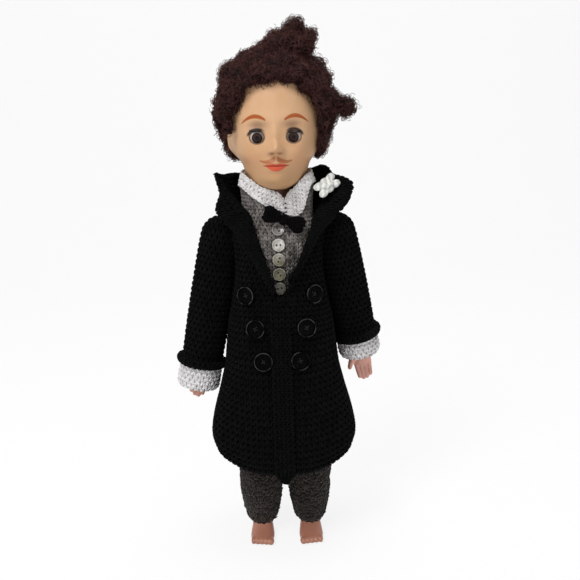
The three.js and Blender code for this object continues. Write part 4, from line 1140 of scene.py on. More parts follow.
def edging(surface, gauge, out, v):
    """Chain of stitches lying along an edge of a surface."""
    width, height, thick = gauge
    fine = np.linspace(0, 1, 300)
    run = lengths(surface(fine, np.full_like(fine, v)))
    count = max(int(round(run[-1] / height)), 1)
    u = np.interp((np.arange(count) + 0.5) / count * run[-1], run, fine)
    place, ahead, _, normal = way_out(surface, u, np.full_like(u, v), out)
    size = np.tile([width, run[-1] / count * 1.1, thick], (count, 1))
    return np.concatenate([place - normal * thick * 0.2, normal, unit(ahead), size], -1)


def crochet(name, stitches, backings, look, seed, looseness):
    """Piece of crochet from rows of stitches and the closed sheets behind them."""
    data = np.concatenate(stitches)
    obj = new_object(name, data[:, :3], [])
    for key, start, scale in (("out", 3, 1), ("up", 6, 1), ("size", 9, MM)):
        values = data[:, start:start + 3] * scale
        layer = obj.data.attributes.new(key, "FLOAT_VECTOR", "POINT")
        layer.data.foreach_set("vector", values.astype(np.float32).ravel())
    backing = new_object(name + "_backing", *merged(backings))
    values = {"Stitch": STITCH, "Backing": backing, "Material": look, "Looseness": looseness, "Seed": seed}
    grow(obj, CROCHET_TREE, values)
    drop(backing)
    return obj


def garment(name, surface, cloth, grid, look, seed, out=1, wrap=False, **rows):
    """Crochet over a surface: its rows of stitches with a lining behind them."""
    stitches = courses(surface, cloth, out, wrap, **rows)
    lining = slab(surface, grid, cloth.lining, out, wrap)
    return crochet(name, [stitches], [lining], look, seed, cloth.looseness)


# Coat

def coat_sizes(z):
    """Half width, front and back of the coat body at a height."""
    sizes = along(TORSO, z) + COAT_GROW + along(COAT_EASE, z)
    sizes[..., :1] += along(SIDE_SPREAD, z)
    return sizes


def notch_edge(z, side):
    """Distance of the coat's neck edge from the middle of the front."""
    foot, growth = NOTCH_EDGE[side]
    return foot + (z - NOTCH) * growth


def coat_side(side):
    """Surface of one half of the coat body, from its front edge round to the middle of the back."""
    def surface(u, v):
        z = SEAM + v * (COAT_TOP - SEAM)
        sizes = coat_sizes(z)
        opened = notch_edge(z, side)
        edge = opened + (FRONT_LAP[side] - opened) * ease(z, NOTCH + 6, NOTCH - 8)
        start = turn_at(edge, sizes[..., 0])
        point = oval(start + u * (np.pi - start), z, sizes, BODY_SQUARENESS)
        lift = LAP_LIFT[side] * ease(point[..., 0], 16, 2) * ease(z, NOTCH + 8, NOTCH - 4)
        point[..., 1] -= np.where(point[..., 1] < 0, lift, 0)
        point[..., 0] *= side
        return point

    return surface


def outside_armhole(points):
    """True where a stitch of the coat body isn't hidden inside a sleeve."""
    reach = np.hypot(points[:, 1], points[:, 2] - SHOULDER)
    return (np.abs(points[:, 0]) < ARMHOLE_START) | (reach > ARMHOLE_RADIUS)


def coat_body(name, side, black):
    """Half of the coat above the seam."""
    seed = SEED["coat_body"] + side
    obj = garment(
        f"coat_body_{name}", coat_side(side), COAT_CLOTH, (80, 36), black, seed, side, keep=outside_armhole,
    )
    wear_half(obj, side, "black_yarn", "coat_body")


def skirt_point(turn, share):
    """Point of the coat skirt at a turn from the front and a share of the way down."""
    hem = HEM_SIDE + (HEM_FRONT - HEM_SIDE) * np.cos(turn) ** 2
    z = SEAM + (hem - SEAM) * share
    fold = 1 + SKIRT_SWAY * share * np.cos(SKIRT_FOLDS * turn)
    point = oval(turn, z, along(SKIRT, share), BODY_SQUARENESS)
    point[..., :2] *= fold[..., None]
    return point


def skirt_side(side):
    """Surface of one half of the skirt, from its front edge to the back vent, bottom to top."""
    def surface(u, v):
        share = 1 - v
        half_width = along(SKIRT, share)[..., 0]
        start = turn_at(-side * BAND_HALF_WIDTH * np.ones_like(share), half_width)
        end = np.pi - turn_at(VENT * np.ones_like(share), half_width)
        point = skirt_point(start + u * (end - start), share)
        point[..., 0] *= side
        return point

    return surface


def coat_skirt(name, side, black):
    """Half of the coat below the seam."""
    seed = SEED["coat_skirt"] + side
    obj = garment(f"coat_skirt_{name}_cloth", skirt_side(side), COAT_CLOTH, (90, 40), black, seed, side)
    wear(obj, "torso", "black_yarn", f"coat_skirt_{name}")


def band_surface(u, v):
    """Front band: u runs down, so that its ribs are upright."""
    z = BAND_TOP + (BAND_TAIL - BAND_TOP) * u
    half = BAND_HALF_WIDTH * ease(z, BAND_TAIL - 4, BAND_TAIL + 9)
    x = (v * 2 - 1) * half
    share = np.clip((SEAM - z) / (SEAM - HEM_FRONT), 0, 1)
    y = front_at(x, along(SKIRT, share)) * (1 + SKIRT_SWAY * share) - BAND_LIFT
    return np.stack([x, y, z], -1)


def coat_band(black):
    """Band down the front, ending in a hanging corner."""
    obj = garment("coat_front_band_cloth", band_surface, BAND_CLOTH, (50, 10), black, SEED["band"])
    wear(obj, "torso", "black_yarn", "coat_front_band")


def on_coat(x, z, lift):
    """Place on the front of the coat, lifted outwards."""
    share = np.clip((SEAM - z) / (SEAM - HEM_FRONT), 0, 1)
    sizes = np.where(z > SEAM, coat_sizes(np.maximum(z, SEAM)), along(SKIRT, share)) + lift
    return np.array([x, front_at(x, sizes), z])


def collar_lines(side):
    """Foot and tip of half the coat collar, from the back of the neck to the end of the lapel."""
    turns = np.array(COLLAR_TURNS)
    height = np.full(len(turns), COLLAR_FOOT)
    around = oval(turns, height, neck_sizes(height, -COLLAR_OUT), BODY_SQUARENESS)
    lapel = [on_coat(notch_edge(z, side) + LAPEL_INSET, z, LAPEL_LIFT) for z in LAPEL_HEIGHTS]
    foot = [*around, *lapel]
    tip = [COLLAR_TIP_BACK, *COLLAR_TIP[side], *(on_coat(*place) for place in LAPEL_TIP)]
    return foot, tip


def collar_side(side, lift):
    """Surface of half the collar, lifted off its under side."""
    foot, tip = collar_lines(side)

    def surface(u, v):
        low = through(foot, u)
        high = through(tip, u)
        step = 0.01
        flow = through(foot, np.clip(u + step, 0, 1)) - through(foot, np.clip(u - step, 0, 1))
        out = unit(np.cross(flow, high - low))
        wave = COLLAR_WAVE * np.sin(u * COLLAR_WAVE_TURN) * v * v * ease(u, 0.95, 0.7)
        bulge = COLLAR_BULGE * np.sin(np.pi * v)
        point = low + (high - low) * v[..., None] + out * (lift + bulge + wave)[..., None]
        point[..., 0] *= side
        return point

    return surface


def coat_collar(name, side, black):
    """Half of the turned collar with its lapel, crocheted on both faces and edged."""
    rows = courses(collar_side(side, COLLAR_LIFT["upper"]), COLLAR_CLOTH, side, level=True)
    below = courses(collar_side(side, COLLAR_LIFT["under"]), COLLAR_CLOTH, -side, level=True)
    edge = edging(collar_side(side, COLLAR_LIFT["edge"]), COLLAR_EDGING, side, 0.965)
    lining = slab(collar_side(side, COLLAR_LIFT["lining"]), (70, 14), COLLAR_CLOTH.lining, side)
    seed = SEED["collar"] + side
    obj = crochet(f"coat_collar_{name}", [rows, below, edge], [lining], black, seed, COLLAR_CLOTH.looseness)
    wear_half(obj, side, "black_yarn", "coat_collar")


# Sleeves, cuffs and arms

def arm_matrix(side):
    """From the arm's own frame, hanging along -Z from the shoulder, to the doll's."""
    back = Matrix.Rotation(ARM_BACK[side], 4, "X")
    mirror = Matrix.Diagonal((side, 1, 1, 1))
    tilt = Matrix.Rotation(-ARM_TILT, 4, "Y")
    return Matrix.Translation((side * ARM_X, 0, SHOULDER)) @ back @ mirror @ tilt


def tube_surface(outline, side):
    """Surface turned about an arm from an outline of radius and height, listed from the bottom up."""
    run = lengths(outline)
    rows = [(share, r, z) for share, (r, z) in zip(run / run[-1], outline)]
    matrix = arm_matrix(side)

    def surface(u, v):
        size = along(rows, v)
        turn = u * 2 * np.pi
        point = np.stack([np.sin(turn) * size[..., 0], -np.cos(turn) * size[..., 0], size[..., 1]], -1)
        return placed(point, matrix)

    return surface


def sleeve(name, side, black):
    """Coat sleeve with a rolled end."""
    length = SLEEVE_LENGTH[name]
    radius = SLEEVE_RADIUS
    dome = [(radius * math.cos(t), radius * math.sin(t)) for t in np.linspace(0, 1.45, 4)]
    tube = [(radius * full, -length * share) for share, full in SLEEVE_FULLNESS]
    surface = tube_surface([(radius, -length + 5), *tube, *dome], side)
    roll = tube_surface([(radius * 1.02 + out, -length + up) for out, up in SLEEVE_ROLL], side)

    def outside_coat(points):
        return points[:, 0] * side > ARMHOLE_X

    rows = courses(surface, COAT_CLOTH, side, True, outside_coat)
    edge = courses(roll, ROLL_CLOTH, side, True)
    lining = slab(surface, (48, 40), COAT_CLOTH.lining, side, True)
    lip = slab(roll, (48, 8), ROLL_CLOTH.lining, side, True)
    seed = SEED["sleeve"] + side
    obj = crochet(f"coat_sleeve_{name}_cloth", [rows, edge], [lining, lip], black, seed, COAT_CLOTH.looseness)
    wear(obj, f"arm_{name}", "black_yarn", f"coat_sleeve_{name}")


def cuff(name, side, white):
    """Turned-back cuff below the sleeve."""
    top = -SLEEVE_LENGTH[name]
    low = top - CUFF_LENGTH[name]
    outer = SLEEVE_RADIUS + CUFF_OUT
    fold = [(outer + out, low + up) for out, up in CUFF_FOLD]
    upper = [(outer + out, top + up) for out, up in CUFF_TOP]
    surface = tube_surface([*fold, *upper], side)
    seed = SEED["cuff"] + side
    obj = garment(
        f"shirt_cuff_{name}_cloth", surface, CUFF_CLOTH, (48, 16), white, seed, side, True, plump=1.15,
    )
    wear(obj, f"arm_{name}", "white_yarn", f"shirt_cuff_{name}")


def finger(x, length):
    """Finger hanging from the knuckles, bent a little forward."""
    t = np.linspace(0, 1, 7)
    path = np.stack([x * (1 - 0.16 * t), -1.6 * t * t, -ARM_LENGTH + 6 - (length + 6) * t], -1)
    return rod(path, FINGER_RADIUS * (1 - 0.22 * t * t), sides=12)


def thumb():
    """Thumb that stands away from the palm."""
    t = np.linspace(0, 1, 6)
    path = np.stack([-3.8 - 7.2 * t**0.8, -1 - 2 * t, -ARM_LENGTH + 13 - 12.5 * t**1.2], -1)
    return rod(path, THUMB_RADIUS - 0.6 * t, sides=12)


def arm(name, side, limb):
    """Moulded arm with a hand: palm, four fingers and a thumb."""
    turn = full_turn(28)
    rings = []
    for down in np.linspace(ARM_LENGTH, 0, 30):
        half, deep = along(ARM, np.array(down))
        rings.append(np.stack([np.sin(turn) * half, -np.cos(turn) * deep, -down + 0 * turn], -1))
    parts = [loft(rings), ball((0, 0, 0), [ARM_RADIUS] * 3)]
    for i, share in enumerate(FINGER_SHARES):
        parts.append(finger(FINGER_PITCH * (1.5 - i), FINGER_LENGTH[name] * share))
    parts.append(thumb())
    parts = [(placed(points, arm_matrix(side)), faces) for points, faces in parts]
    obj = fused(f"arm_{name}_skin", parts, voxel=0.7, rounds=3, material=limb)
    wear(obj, f"arm_{name}", "limb_plastic", f"arm_{name}")


# Trousers, legs and feet

def trouser_side(side):
    """Surface of a trouser leg, gathered at the hem and wavy above it."""
    def surface(u, v):
        turn = u * 2 * np.pi
        z = TROUSER_HEM + v * (HIP - TROUSER_HEM) + 1.5 * (1 - v) * np.maximum(np.cos(turn), 0)
        point = oval(turn, z, along(TROUSER, z))
        gather = HEM_GATHER_DEPTH * np.sin(turn * HEM_GATHERS) * ease(z, TROUSER_HEM + 14, TROUSER_HEM)
        crease = LEG_CREASE_DEPTH * np.sin(turn * LEG_CREASES + z * 0.16) * ease(z, 30, 50)
        point[..., :2] *= (1 + (gather + crease) / 17)[..., None]
        point[..., 0] += side * HIP_X
        return point

    return surface


def below_coat(points):
    """True for stitches between the trouser hem and a little above the coat's hem."""
    return (points[:, 2] > TROUSER_HEM + 0.8) & (points[:, 2] < TROUSERS_SEEN)


def trouser_leg(name, side, tweed):
    """Trouser leg of felted stitches, which don't lie in clear rows."""
    surface = trouser_side(side)
    rows = courses(surface, TROUSER_CLOTH, 1, True, below_coat)
    aside = np.random.default_rng(SEED["aside"] + side)
    rows[:, :2] += aside.normal(0, FELT_ASIDE, (len(rows), 2))
    upwards = np.random.default_rng(SEED["upwards"] + side)
    shift = np.clip(upwards.normal(0, FELT_UP, len(rows)), -2 * FELT_UP, 2 * FELT_UP)
    rows[:, 2] += shift * ease(rows[:, 2], TROUSER_HEM, TROUSER_HEM + 12)
    lining = slab(surface, (60, 60), TROUSER_CLOTH.lining, 1, True)
    seed = SEED["trousers"] + side
    obj = crochet(f"trouser_leg_{name}_cloth", [rows], [lining], tweed, seed, TROUSER_CLOTH.looseness)
    wear(obj, f"leg_{name}", "trouser_yarn", f"trouser_leg_{name}")


def trouser_seat(tweed):
    """Seat between the legs, inside the coat."""
    seat = node_points("trouser_seat")
    obj = fused("trouser_seat_cloth", [seat], voxel=1.4, rounds=2, material=tweed)
    wear(obj, "torso", "trouser_yarn", "trouser_seat")


def foot():
    """Foot from ball to heel with its toes, flat underneath, in its own place."""
    turn = full_turn(28)
    up = np.cos(turn)
    rings = []
    for y in np.linspace(FOOT[0][0], FOOT[-1][0], 22):
        half, high = along(FOOT, np.array(y))
        z = np.where(up > 0, up * (high - 3), up * 2.6) + 3
        rings.append(np.stack([power(np.sin(turn), 0.8) * half, y + 0 * turn, z], -1))
    parts = [loft(rings)]
    for i in range(TOES):
        size = BIG_TOE if i == 0 else SMALL_TOE - 0.08 * i
        parts.append(ball((TOE_X + TOE_PITCH * i, TOE_Y + 0.5 * i, 3.4), (size, 4.2, 2.9)))
    return parts


def leg(name, side, limb):
    """Moulded leg with a bare foot."""
    hip = np.array([side * HIP_X, 0, 0])
    turn = full_turn(28)
    rings = [oval(turn, z, along(LEG, np.array(z))[None]) + hip for z in np.linspace(10, HIP, 40)]
    top = ball((side * HIP_X, 0, HIP), LEG[-1][1:])
    feet = [(points * np.array([side, 1, 1]) + hip, faces) for points, faces in foot()]
    parts = [loft(rings), top, *feet]
    obj = fused(f"leg_{name}_skin", parts, voxel=0.85, rounds=2, material=limb)
    wear(obj, f"leg_{name}", "limb_plastic", f"leg_{name}")


# Shirt collar, waistcoat, bow tie and flower

def neck_sizes(z, depth):
    """Half width, front and back of the waistcoat and the neck above it, at a depth under their outside."""
    body = along(TORSO, z) + WAISTCOAT_GROW
    return np.where((z > YOKE[0][0])[..., None], along(YOKE, z), body) - depth


def waistcoat_side(side):
    """Half of the waistcoat, from the middle of the front to the middle of the back."""
    def surface(u, v):
        z = WAISTCOAT_FOOT + v * (WAISTCOAT_TOP - WAISTCOAT_FOOT)
        sizes = neck_sizes(z, 0)
        start = turn_at(along(WAISTCOAT_EDGES[side], z)[..., 0], sizes[..., 0])
        point = oval(start + u * (np.pi - start), z, sizes, BODY_SQUARENESS)
        point[..., 0] *= side
        return point

    return surface


def in_coat_opening(points):
    """True where a stitch of the waistcoat can be seen."""
    front = (points[:, 1] < WAISTCOAT_FRONT) & (points[:, 2] > WAISTCOAT_SEEN)
    return front | (points[:, 2] > NECK_SEEN)


def waistcoat(name, side, grey):
    """Half of the ribbed waistcoat."""
    seed = SEED["waistcoat"] + side
    obj = garment(
        f"waistcoat_{name}", waistcoat_side(side), WAISTCOAT_CLOTH, (60, 60), grey, seed, side,
        keep=in_coat_opening, ribs=WAISTCOAT_RIBS, plump=1.16,
    )
    wear_half(obj, side, "grey_yarn", "waistcoat")


def shirt_side(side):
    """Half of the shirt collar, from its point at the throat to the back of the neck."""
    low_back, top_back = SHIRT_BACK
    throat = side * THROAT_X

    def surface(u, v):
        start = turn_at(throat + 0.7, NECK_HALF_WIDTH)
        turn = start + u * (np.pi - start)
        x = power(np.sin(turn), 2 / BODY_SQUARENESS) * NECK_HALF_WIDTH
        ahead = ease(np.cos(turn), -0.2, 0.3)
        edges = along(SHIRT_EDGES[side], np.abs(x - throat) / (NECK_HALF_WIDTH - throat))
        low = low_back + (edges[..., 0] - low_back) * ahead
        top = top_back + (edges[..., 1] - top_back) * ahead
        z = low + v * (top - low)
        depth = 1.6 - 2.8 * ahead * (1 - v)
        point = oval(turn, z, neck_sizes(z, depth[..., None]), BODY_SQUARENESS)
        point[..., 0] *= side
        return point

    return surface


def shirt_collar(name, side, white):
    """Half of the shirt collar, crocheted on both faces and edged."""
    surface = shirt_side(side)
    rows = courses(surface, SHIRT_CLOTH, side, level=True, plump=1.2)
    inside = courses(surface, SHIRT_INSIDE, -side, level=True)
    edges = [edging(surface, SHIRT_EDGING, side, v) for v in (0.02, 0.98)]
    lining = slab(surface, (60, 16), SHIRT_CLOTH.lining, side)
    seed = SEED["shirt"] + side
    stitches = [rows, inside, *edges]
    obj = crochet(f"shirt_collar_{name}", stitches, [lining], white, seed, SHIRT_CLOTH.looseness)
    wear_half(obj, side, "white_yarn", "shirt_collar")


def bow_loop(name, side, dark):
    """Loop of the bow tie, dented along its middle."""
    def surface(u, v):
        size = along(BOW_LOOP, v)
        turn = u * 2 * np.pi
        dent = 1 - 0.16 * hump(np.sin(turn), 0, 0.35)
        x = side * (2.2 + BOW_LOOP_LENGTH * v)
        point = np.stack([x, -np.cos(turn) * size[..., 1], np.sin(turn) * size[..., 0] * dent], -1)
        return placed(point, BOW_PLACE)

    seed = SEED["bow_loop"] + side
    obj = garment(f"bow_loop_{name}_cloth", surface, BOW_CLOTH, (28, 12), dark, seed, -side, True)
    wear(obj, "torso", "bow_yarn", f"bow_loop_{name}")


def bow_knot(dark):
    """Knot between the loops."""
    def surface(u, v):
        turn = u * 2 * np.pi
        size = KNOT_RADIUS + 0.3 * np.sin(np.pi * v)
        point = np.stack([(v * 2 - 1) * KNOT_HALF_WIDTH, -np.cos(turn) * size, np.sin(turn) * size], -1)
        return placed(point, BOW_PLACE)

    obj = garment("bow_knot_cloth", surface, KNOT_CLOTH, (24, 6), dark, SEED["bow_knot"], -1, True)
    wear(obj, "torso", "bow_yarn", "bow_knot")


def petal(place, spin, size):
    """Plump pearly petal with a crease along its middle."""
    points, faces = ball((0, 0, 0), size, columns=16, rows=12)
    points[:, 2] -= 0.5 * hump(points[:, 1], 0, 0.6) * (points[:, 2] > 0)
    return placed(points, Matrix.Translation(place) @ Matrix.Rotation(spin, 4, "Z")), faces


def flower(white):
    """Long cluster of petals slanting up the lapel, with a bead in its middle."""
    low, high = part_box("flower_petals")
    out = unit(np.array(FLOWER_OUT))
    middle = np.array((low + high) / 2) / MM - out * 2.0 + FLOWER_SHIFT
    matrix = facing(middle, out) @ Matrix.Rotation(FLOWER_SLANT, 4, "Z")
    petals = []
    for lean in (-1, 1):
        for k in (-1, 0, 1):
            petals.append(petal((PETAL_PITCH * k, lean * PETAL_ASIDE, 1.5), lean * k * 0.15, PETAL))
        petals.append(petal((2.6 * lean, 0, 3.0), 0.9 * lean, INNER_PETAL))
    pieces = {"flower_petals": merged(petals), "flower_bead": ball((1.8, -1.6, 4.2), BEAD)}
    for node, (points, faces) in pieces.items():
        obj = new_object(node + "_look", placed(points, matrix), faces, white)
        wear(obj, "torso", "white_petal", node)


# Buttons

def hole_spots(button):
    """Middles of a button's thread holes."""
    turns = (np.arange(button.holes) + 0.5) / button.holes * 2 * math.pi
    return [np.array([math.cos(t), math.sin(t), 0]) * button.radius * HOLE_RING for t in turns]


def button_mesh(name, button, material):
    """Turned button with a raised rim, a dished middle and thread holes. Its points know the rim."""
    radius, thick = button.radius, button.thick
    rim_line = [(radius * across, thick * up) for across, up in BUTTON_OUTLINE]
    obj = new_object(name, *turned([(0.01, 0), *rim_line, (0.01, thick * BUTTON_DISH)]), material)
    hole = radius * HOLE_RADIUS / math.sqrt(button.holes)
    drills = [rod([spot - (0, 0, 2), spot + (0, 0, thick + 2)], hole) for spot in hole_spots(button)]
    cut_away(obj, [new_object(name + "_drill", *merged(drills))])
    obj.data.set_sharp_from_angle(angle=math.radians(40))
    places = vertices_of(obj.data)
    on_rim = hump(np.hypot(places[:, 0], places[:, 1]), radius * BUTTON_RIM, radius * 0.03)
    # The top of the rim, which carries the painted highlight.
    layer = obj.data.attributes.new("rim", "FLOAT", "POINT")
    layer.data.foreach_set("value", (on_rim * (places[:, 2] > thick * 0.9)).astype(np.float32))
    return obj


def node_facing(name):
    """Middle of a button's back and the way it faces, from its CAD node."""
    mesh = frame["nodes"][name].data
    centres = np.array([p.center for p in mesh.polygons]) / MM
    areas = np.array([p.area for p in mesh.polygons])
    middle = np.average(centres, axis=0, weights=areas)
    _, axes = np.linalg.eigh(np.cov((centres - middle).T, aweights=areas))
    out = axes[:, 0] if axes[1, 0] < 0 else -axes[:, 0]
    depth = (centres - middle) @ out
    return middle + out * depth.min(), out


def thread_path(a, b, button):
    """Stitch of thread that dips into two holes and stands proud between them."""
    t = np.linspace(0, 1, 8)[:, None]
    path = a + (b - a) * t
    arch = (button.proud + THREAD_DIP) * np.sin(np.pi * t[:, 0]) - THREAD_DIP
    path[:, 2] = button.thick * BUTTON_DISH + arch
    return path


def buttons(names, slot, button, material, thread):
    """Buttons of one kind, each with its thread, in place of their nodes."""
    source = button_mesh(slot + "_source", button, material)
    spots = hole_spots(button)
    half = button.holes // 2
    paths = [thread_path(spots[i], spots[i + half], button) for i in range(half)]
    points, faces = merged([rod(path, THREAD_RADIUS, sides=6) for path in paths])
    for k, name in enumerate(names):
        matrix = facing(*node_facing(name)) @ Matrix.Rotation(0.5 + BUTTON_TURN * k, 4, "Z")
        sewn = new_object(name + "_look", placed(points, matrix), faces, thread)
        disc = link(name + "_disc", source.data.copy())
        disc.data.transform(Matrix.Scale(MM, 4) @ matrix @ Matrix.Scale(1 / MM, 4))
        wear(disc, "torso", slot, name)
        wear(sewn, "torso", slot)
    drop(source)


# Head

def featured(x, y, rise, turn):
    """The head's x and y with its jaw, the bumps of its face and its ears."""
    x = x + np.sin(turn) * (2.6 * ease(rise, 11, 3) - 2.2 * hump(rise, 17.5, 5.5))
    front = np.clip(np.cos(turn) * 3, 0, 1)
    for aside, up, spread_x, spread_z, out in FACE:
        for middle in sorted({-aside, aside}):
            y = y - out * hump(x, middle, spread_x) * hump(rise, up, spread_z) * front
    ear = EAR["out"] * hump(y, EAR["y"], EAR["spread_y"]) * hump(rise, EAR["rise"], EAR["spread_z"])
    dish = 1.6 * hump(y, EAR["y"] - 0.5, 2.4) * hump(rise, EAR["rise"] + 1, 4.5)
    x = x + np.sign(x) * (ear - dish) * np.clip(np.abs(np.sin(turn)) * 2, 0, 1)
    return x, y


def head_body(columns, rows, grow_by, with_face):
    """Closed head form. A face has its features, and more points towards the front."""
    turn = full_turn(columns)[None, :]
    if with_face:
        turn = turn - 0.4 * np.sin(turn)
    share = np.linspace(-0.985, 0.985, rows)[:, None]  # -1 at the chin, 1 at the crown
    lift = np.sin(share * np.pi / 2)
    narrow = np.sqrt(np.maximum(1 - lift**2, 0))
    full = np.where(share < 0, np.maximum(1 - np.abs(lift) ** 3, 0) ** (1 / 3), narrow)
    rise = HEAD_MIDDLE + lift * np.where(share < 0, HEAD_LOWER + grow_by, HEAD_UPPER + grow_by)
    ahead = np.cos(turn)
    depth = np.where(ahead > 0, (HEAD_FRONT + grow_by) * full, (HEAD_BACK + grow_by) * narrow)
    x = np.sin(turn) * (HEAD_HALF_WIDTH + grow_by) * narrow
    y = -ahead * depth - np.where(share < 0, CHIN_FORWARD * lift**2, 0)
    if with_face:
        x, y = featured(x, y, rise, turn)
    return loft(np.stack([x, y, rise + CHIN + 0 * x], -1))


def eye_place(side):
    """Middle of an eye."""
    return np.array([side * EYE_X, EYE_Y, CHIN + EYE_RISE])


def head(skin):
    """Hollow head with eye windows and a neck hole."""
    obj = new_object("head_skin", *head_body(columns=170, rows=150, grow_by=0, with_face=True), skin)
    hollow = head_body(columns=48, rows=40, grow_by=-HEAD_WALL, with_face=False)
    tools = [new_object("head_hollow", *hollow)]
    for side in SIDES.values():
        middle = eye_place(side)
        across, up = EYE_OPENING
        place = middle + (0, -WINDOW_FORWARD, OPENING_RISE - EYE_RISE)
        window = ball(place, (across, WINDOW_HALF_DEPTH, up), columns=56, rows=36)
        tools.append(new_object("eye_window", *window))
        room = ball(middle, [EYE_ROOM_RADIUS] * 3, columns=40, rows=24)
        tools.append(new_object("eye_room", *room))
    neck = rod([(0, NECK_Y, CHIN - 12), (0, NECK_Y, CHIN + 9)], NECK_HOLE_RADIUS, sides=36)
    tools.append(new_object("neck_hole", *neck))
    cut_away(obj, tools)
    obj.data.set_sharp_from_angle(angle=math.radians(45))
    wear(obj, "head", "vinyl_skin", "head_shell")


def lash(turn, angle):
    """One lash, from the edge of the lid outwards and up, on an eye at the origin."""
    root = np.array([math.sin(turn), -math.cos(turn) * math.cos(angle), math.cos(turn) * math.sin(angle)])
    way = unit(root + np.array([math.sin(turn) * 0.3, 0, -0.25]))
    t = np.linspace(0, 1, 5)[:, None]
    path = root * (EYE_RADIUS + 0.05) + way * LASH_LENGTH * t + np.array([0, 0, LASH_CURVE]) * t * t
    return path, LASH_RADIUS * (1 - 0.6 * t[:, 0])


def eye(name, side, lash_look):
    """Eyeball with its lid, and its row of lashes."""
    middle = eye_place(side)
    points, faces = ball(middle, [EYE_RADIUS] * 3, columns=64, rows=48)
    obj = new_object(f"eyeball_{name}_look", points, faces, eye_material(name, side))
    wear(obj, f"eye_{name}", "eye_plastic", f"eyeball_{name}")
    hairs = []
    for turn in np.radians(np.linspace(-LASH_SPREAD, LASH_SPREAD, LASHES)):
        path, radii = lash(turn, LID_ANGLE[name])
        hairs.append(rod(middle + path, radii, sides=5))
    obj = new_object(f"eye_lashes_{name}_look", *merged(hairs), lash_look)
    wear(obj, f"eye_{name}", "lash_fibre", f"eye_lashes_{name}")


# Hair

def lock_sources():
    """Collection of small ringlets, each a thin strand that winds as it lies over the hair."""
    group = bpy.data.collections.new("lock_sources")
    chance = np.random.default_rng(SEED["locks"])
    t = np.linspace(0, 1, 8)
    for k in range(LOCK_KINDS):
        reach = chance.uniform(*LOCK_LENGTH)
        wind = chance.uniform(*LOCK_WIDTH)
        turn = t * chance.uniform(*LOCK_TURN) + chance.uniform(0, 6)
        x = reach * (t - 0.3) + wind * 0.5 * np.cos(turn)
        y = wind * np.sin(turn)
        z = 1.7 * np.sin(np.pi * (0.1 + 0.75 * t)) + wind * 0.8 * np.cos(turn)
        strand = rod(np.stack([x, y, z], -1), LOCK_RADIUS * (1 - 0.5 * t), sides=3)
        lock = new_object(f"lock_{k}", *strand)
        group.objects.link(lock)
        bpy.context.scene.collection.objects.unlink(lock)
    return group


def hair_tree():
    """Curly locks scattered over a surface."""
    sockets = {"Locks": "NodeSocketCollection", "Material": "NodeSocketMaterial",
               "Density": "NodeSocketFloat", "Seed": "NodeSocketInt"}
    given = tree_with("curly_hair", sockets)
    seed = given["Seed"]
    inputs = {"Mesh": given["Geometry"], "Density": given["Density"], "Seed": seed}
    spots = seed.node("GeometryNodeDistributePointsOnFaces", inputs, distribute_method="RANDOM")
    inputs = {"Collection": given["Locks"], "Separate Children": True, "Reset Children": True}
    locks = seed.node("GeometryNodeCollectionInfo", inputs)
    lean = (LOCK_LEAN, LOCK_LEAN, LOCK_SPIN)
    spin = random_value(seed, [-angle for angle in lean], lean, "FLOAT_VECTOR")
    spread = {"Points": spots, "Instance": locks, "Pick Instance": True,
              "Instance Index": random_value(seed, 0, LOCK_KINDS - 1, "INT"),
              "Rotation": turned_by(spots.other("Rotation"), spin), "Scale": random_value(seed, *LOCK_SCALE)}
    return finish_tree(given, seed.node("GeometryNodeInstanceOnPoints", spread))


def room_for_locks(points, normals):
    """How far the outside of the hair cap is drawn in, to leave room for the locks on it."""
    level = np.linalg.norm((points - HEAD_CORE) / HEAD_CORE_SIZE, axis=1) - 1
    return -ease(level * 36, 1, 6) * (3.2 + 3 * np.abs(normals[:, 2]))


def curls(points, _):
    """How far a hair mass is pushed in and out into small curls."""
    x, y, z = points.T / 4.2
    bumps = np.sin(x * 1.3 + 2 * np.sin(z * 0.7)) * np.sin(z * 1.2 + 2 * np.sin(y * 0.8))
    return bumps * np.sin(y * 1.1 + x * 0.4) * CURL_DEPTH


def hair_forms():
    """Masses that the locks grow on: cap, topknot and side curl."""
    masses = [ball(*mass) for mass in CAP_MASSES]
    cap = fused("hair_cap_form", [node_points("hair_cap"), *masses], voxel=1.6, rounds=5)
    cut_away(cap, [new_object("ear_room", *ball(*EAR_ROOM, columns=40, rows=24))])
    push(cap, room_for_locks)
    tufts = [ball(*mass) for mass in TOPKNOT_MASSES]
    topknot = fused("hair_topknot_form", tufts, voxel=1.0, rounds=3)
    path = np.array(SIDE_CURL_START) + np.array(SIDE_CURL_WAY) * np.linspace(0, 1, 6)[:, None]
    curl = fused("hair_curl_form", [rod(path, SIDE_CURL_RADIUS, sides=16)], voxel=0.9, rounds=3)
    return {"hair_cap": cap, "hair_topknot": topknot, "hair_side_curl": curl}


def eighths(form):
    """Outer faces of a form as eight meshes, parted by planes through the middle of the hair."""
    for side, ahead, high in itertools.product((-1, 1), repeat=3):
        mesh = form.data.copy()
        work = bmesh.new()
        work.from_mesh(mesh)
        away = []
        for face in work.faces:
            place = face.calc_center_median() / MM
            elsewhere = min(place.x * side, place.y * ahead, (place.z - HAIR_MIDDLE) * high) < 0
            outwards = (place - Vector(HEAD_CORE)).normalized()
            if elsewhere or face.normal.dot(outwards) < LOCKS_INWARDS:
                away.append(face)
        bmesh.ops.delete(work, geom=away, context="FACES")
        work.to_mesh(mesh)
        work.free()
        yield mesh


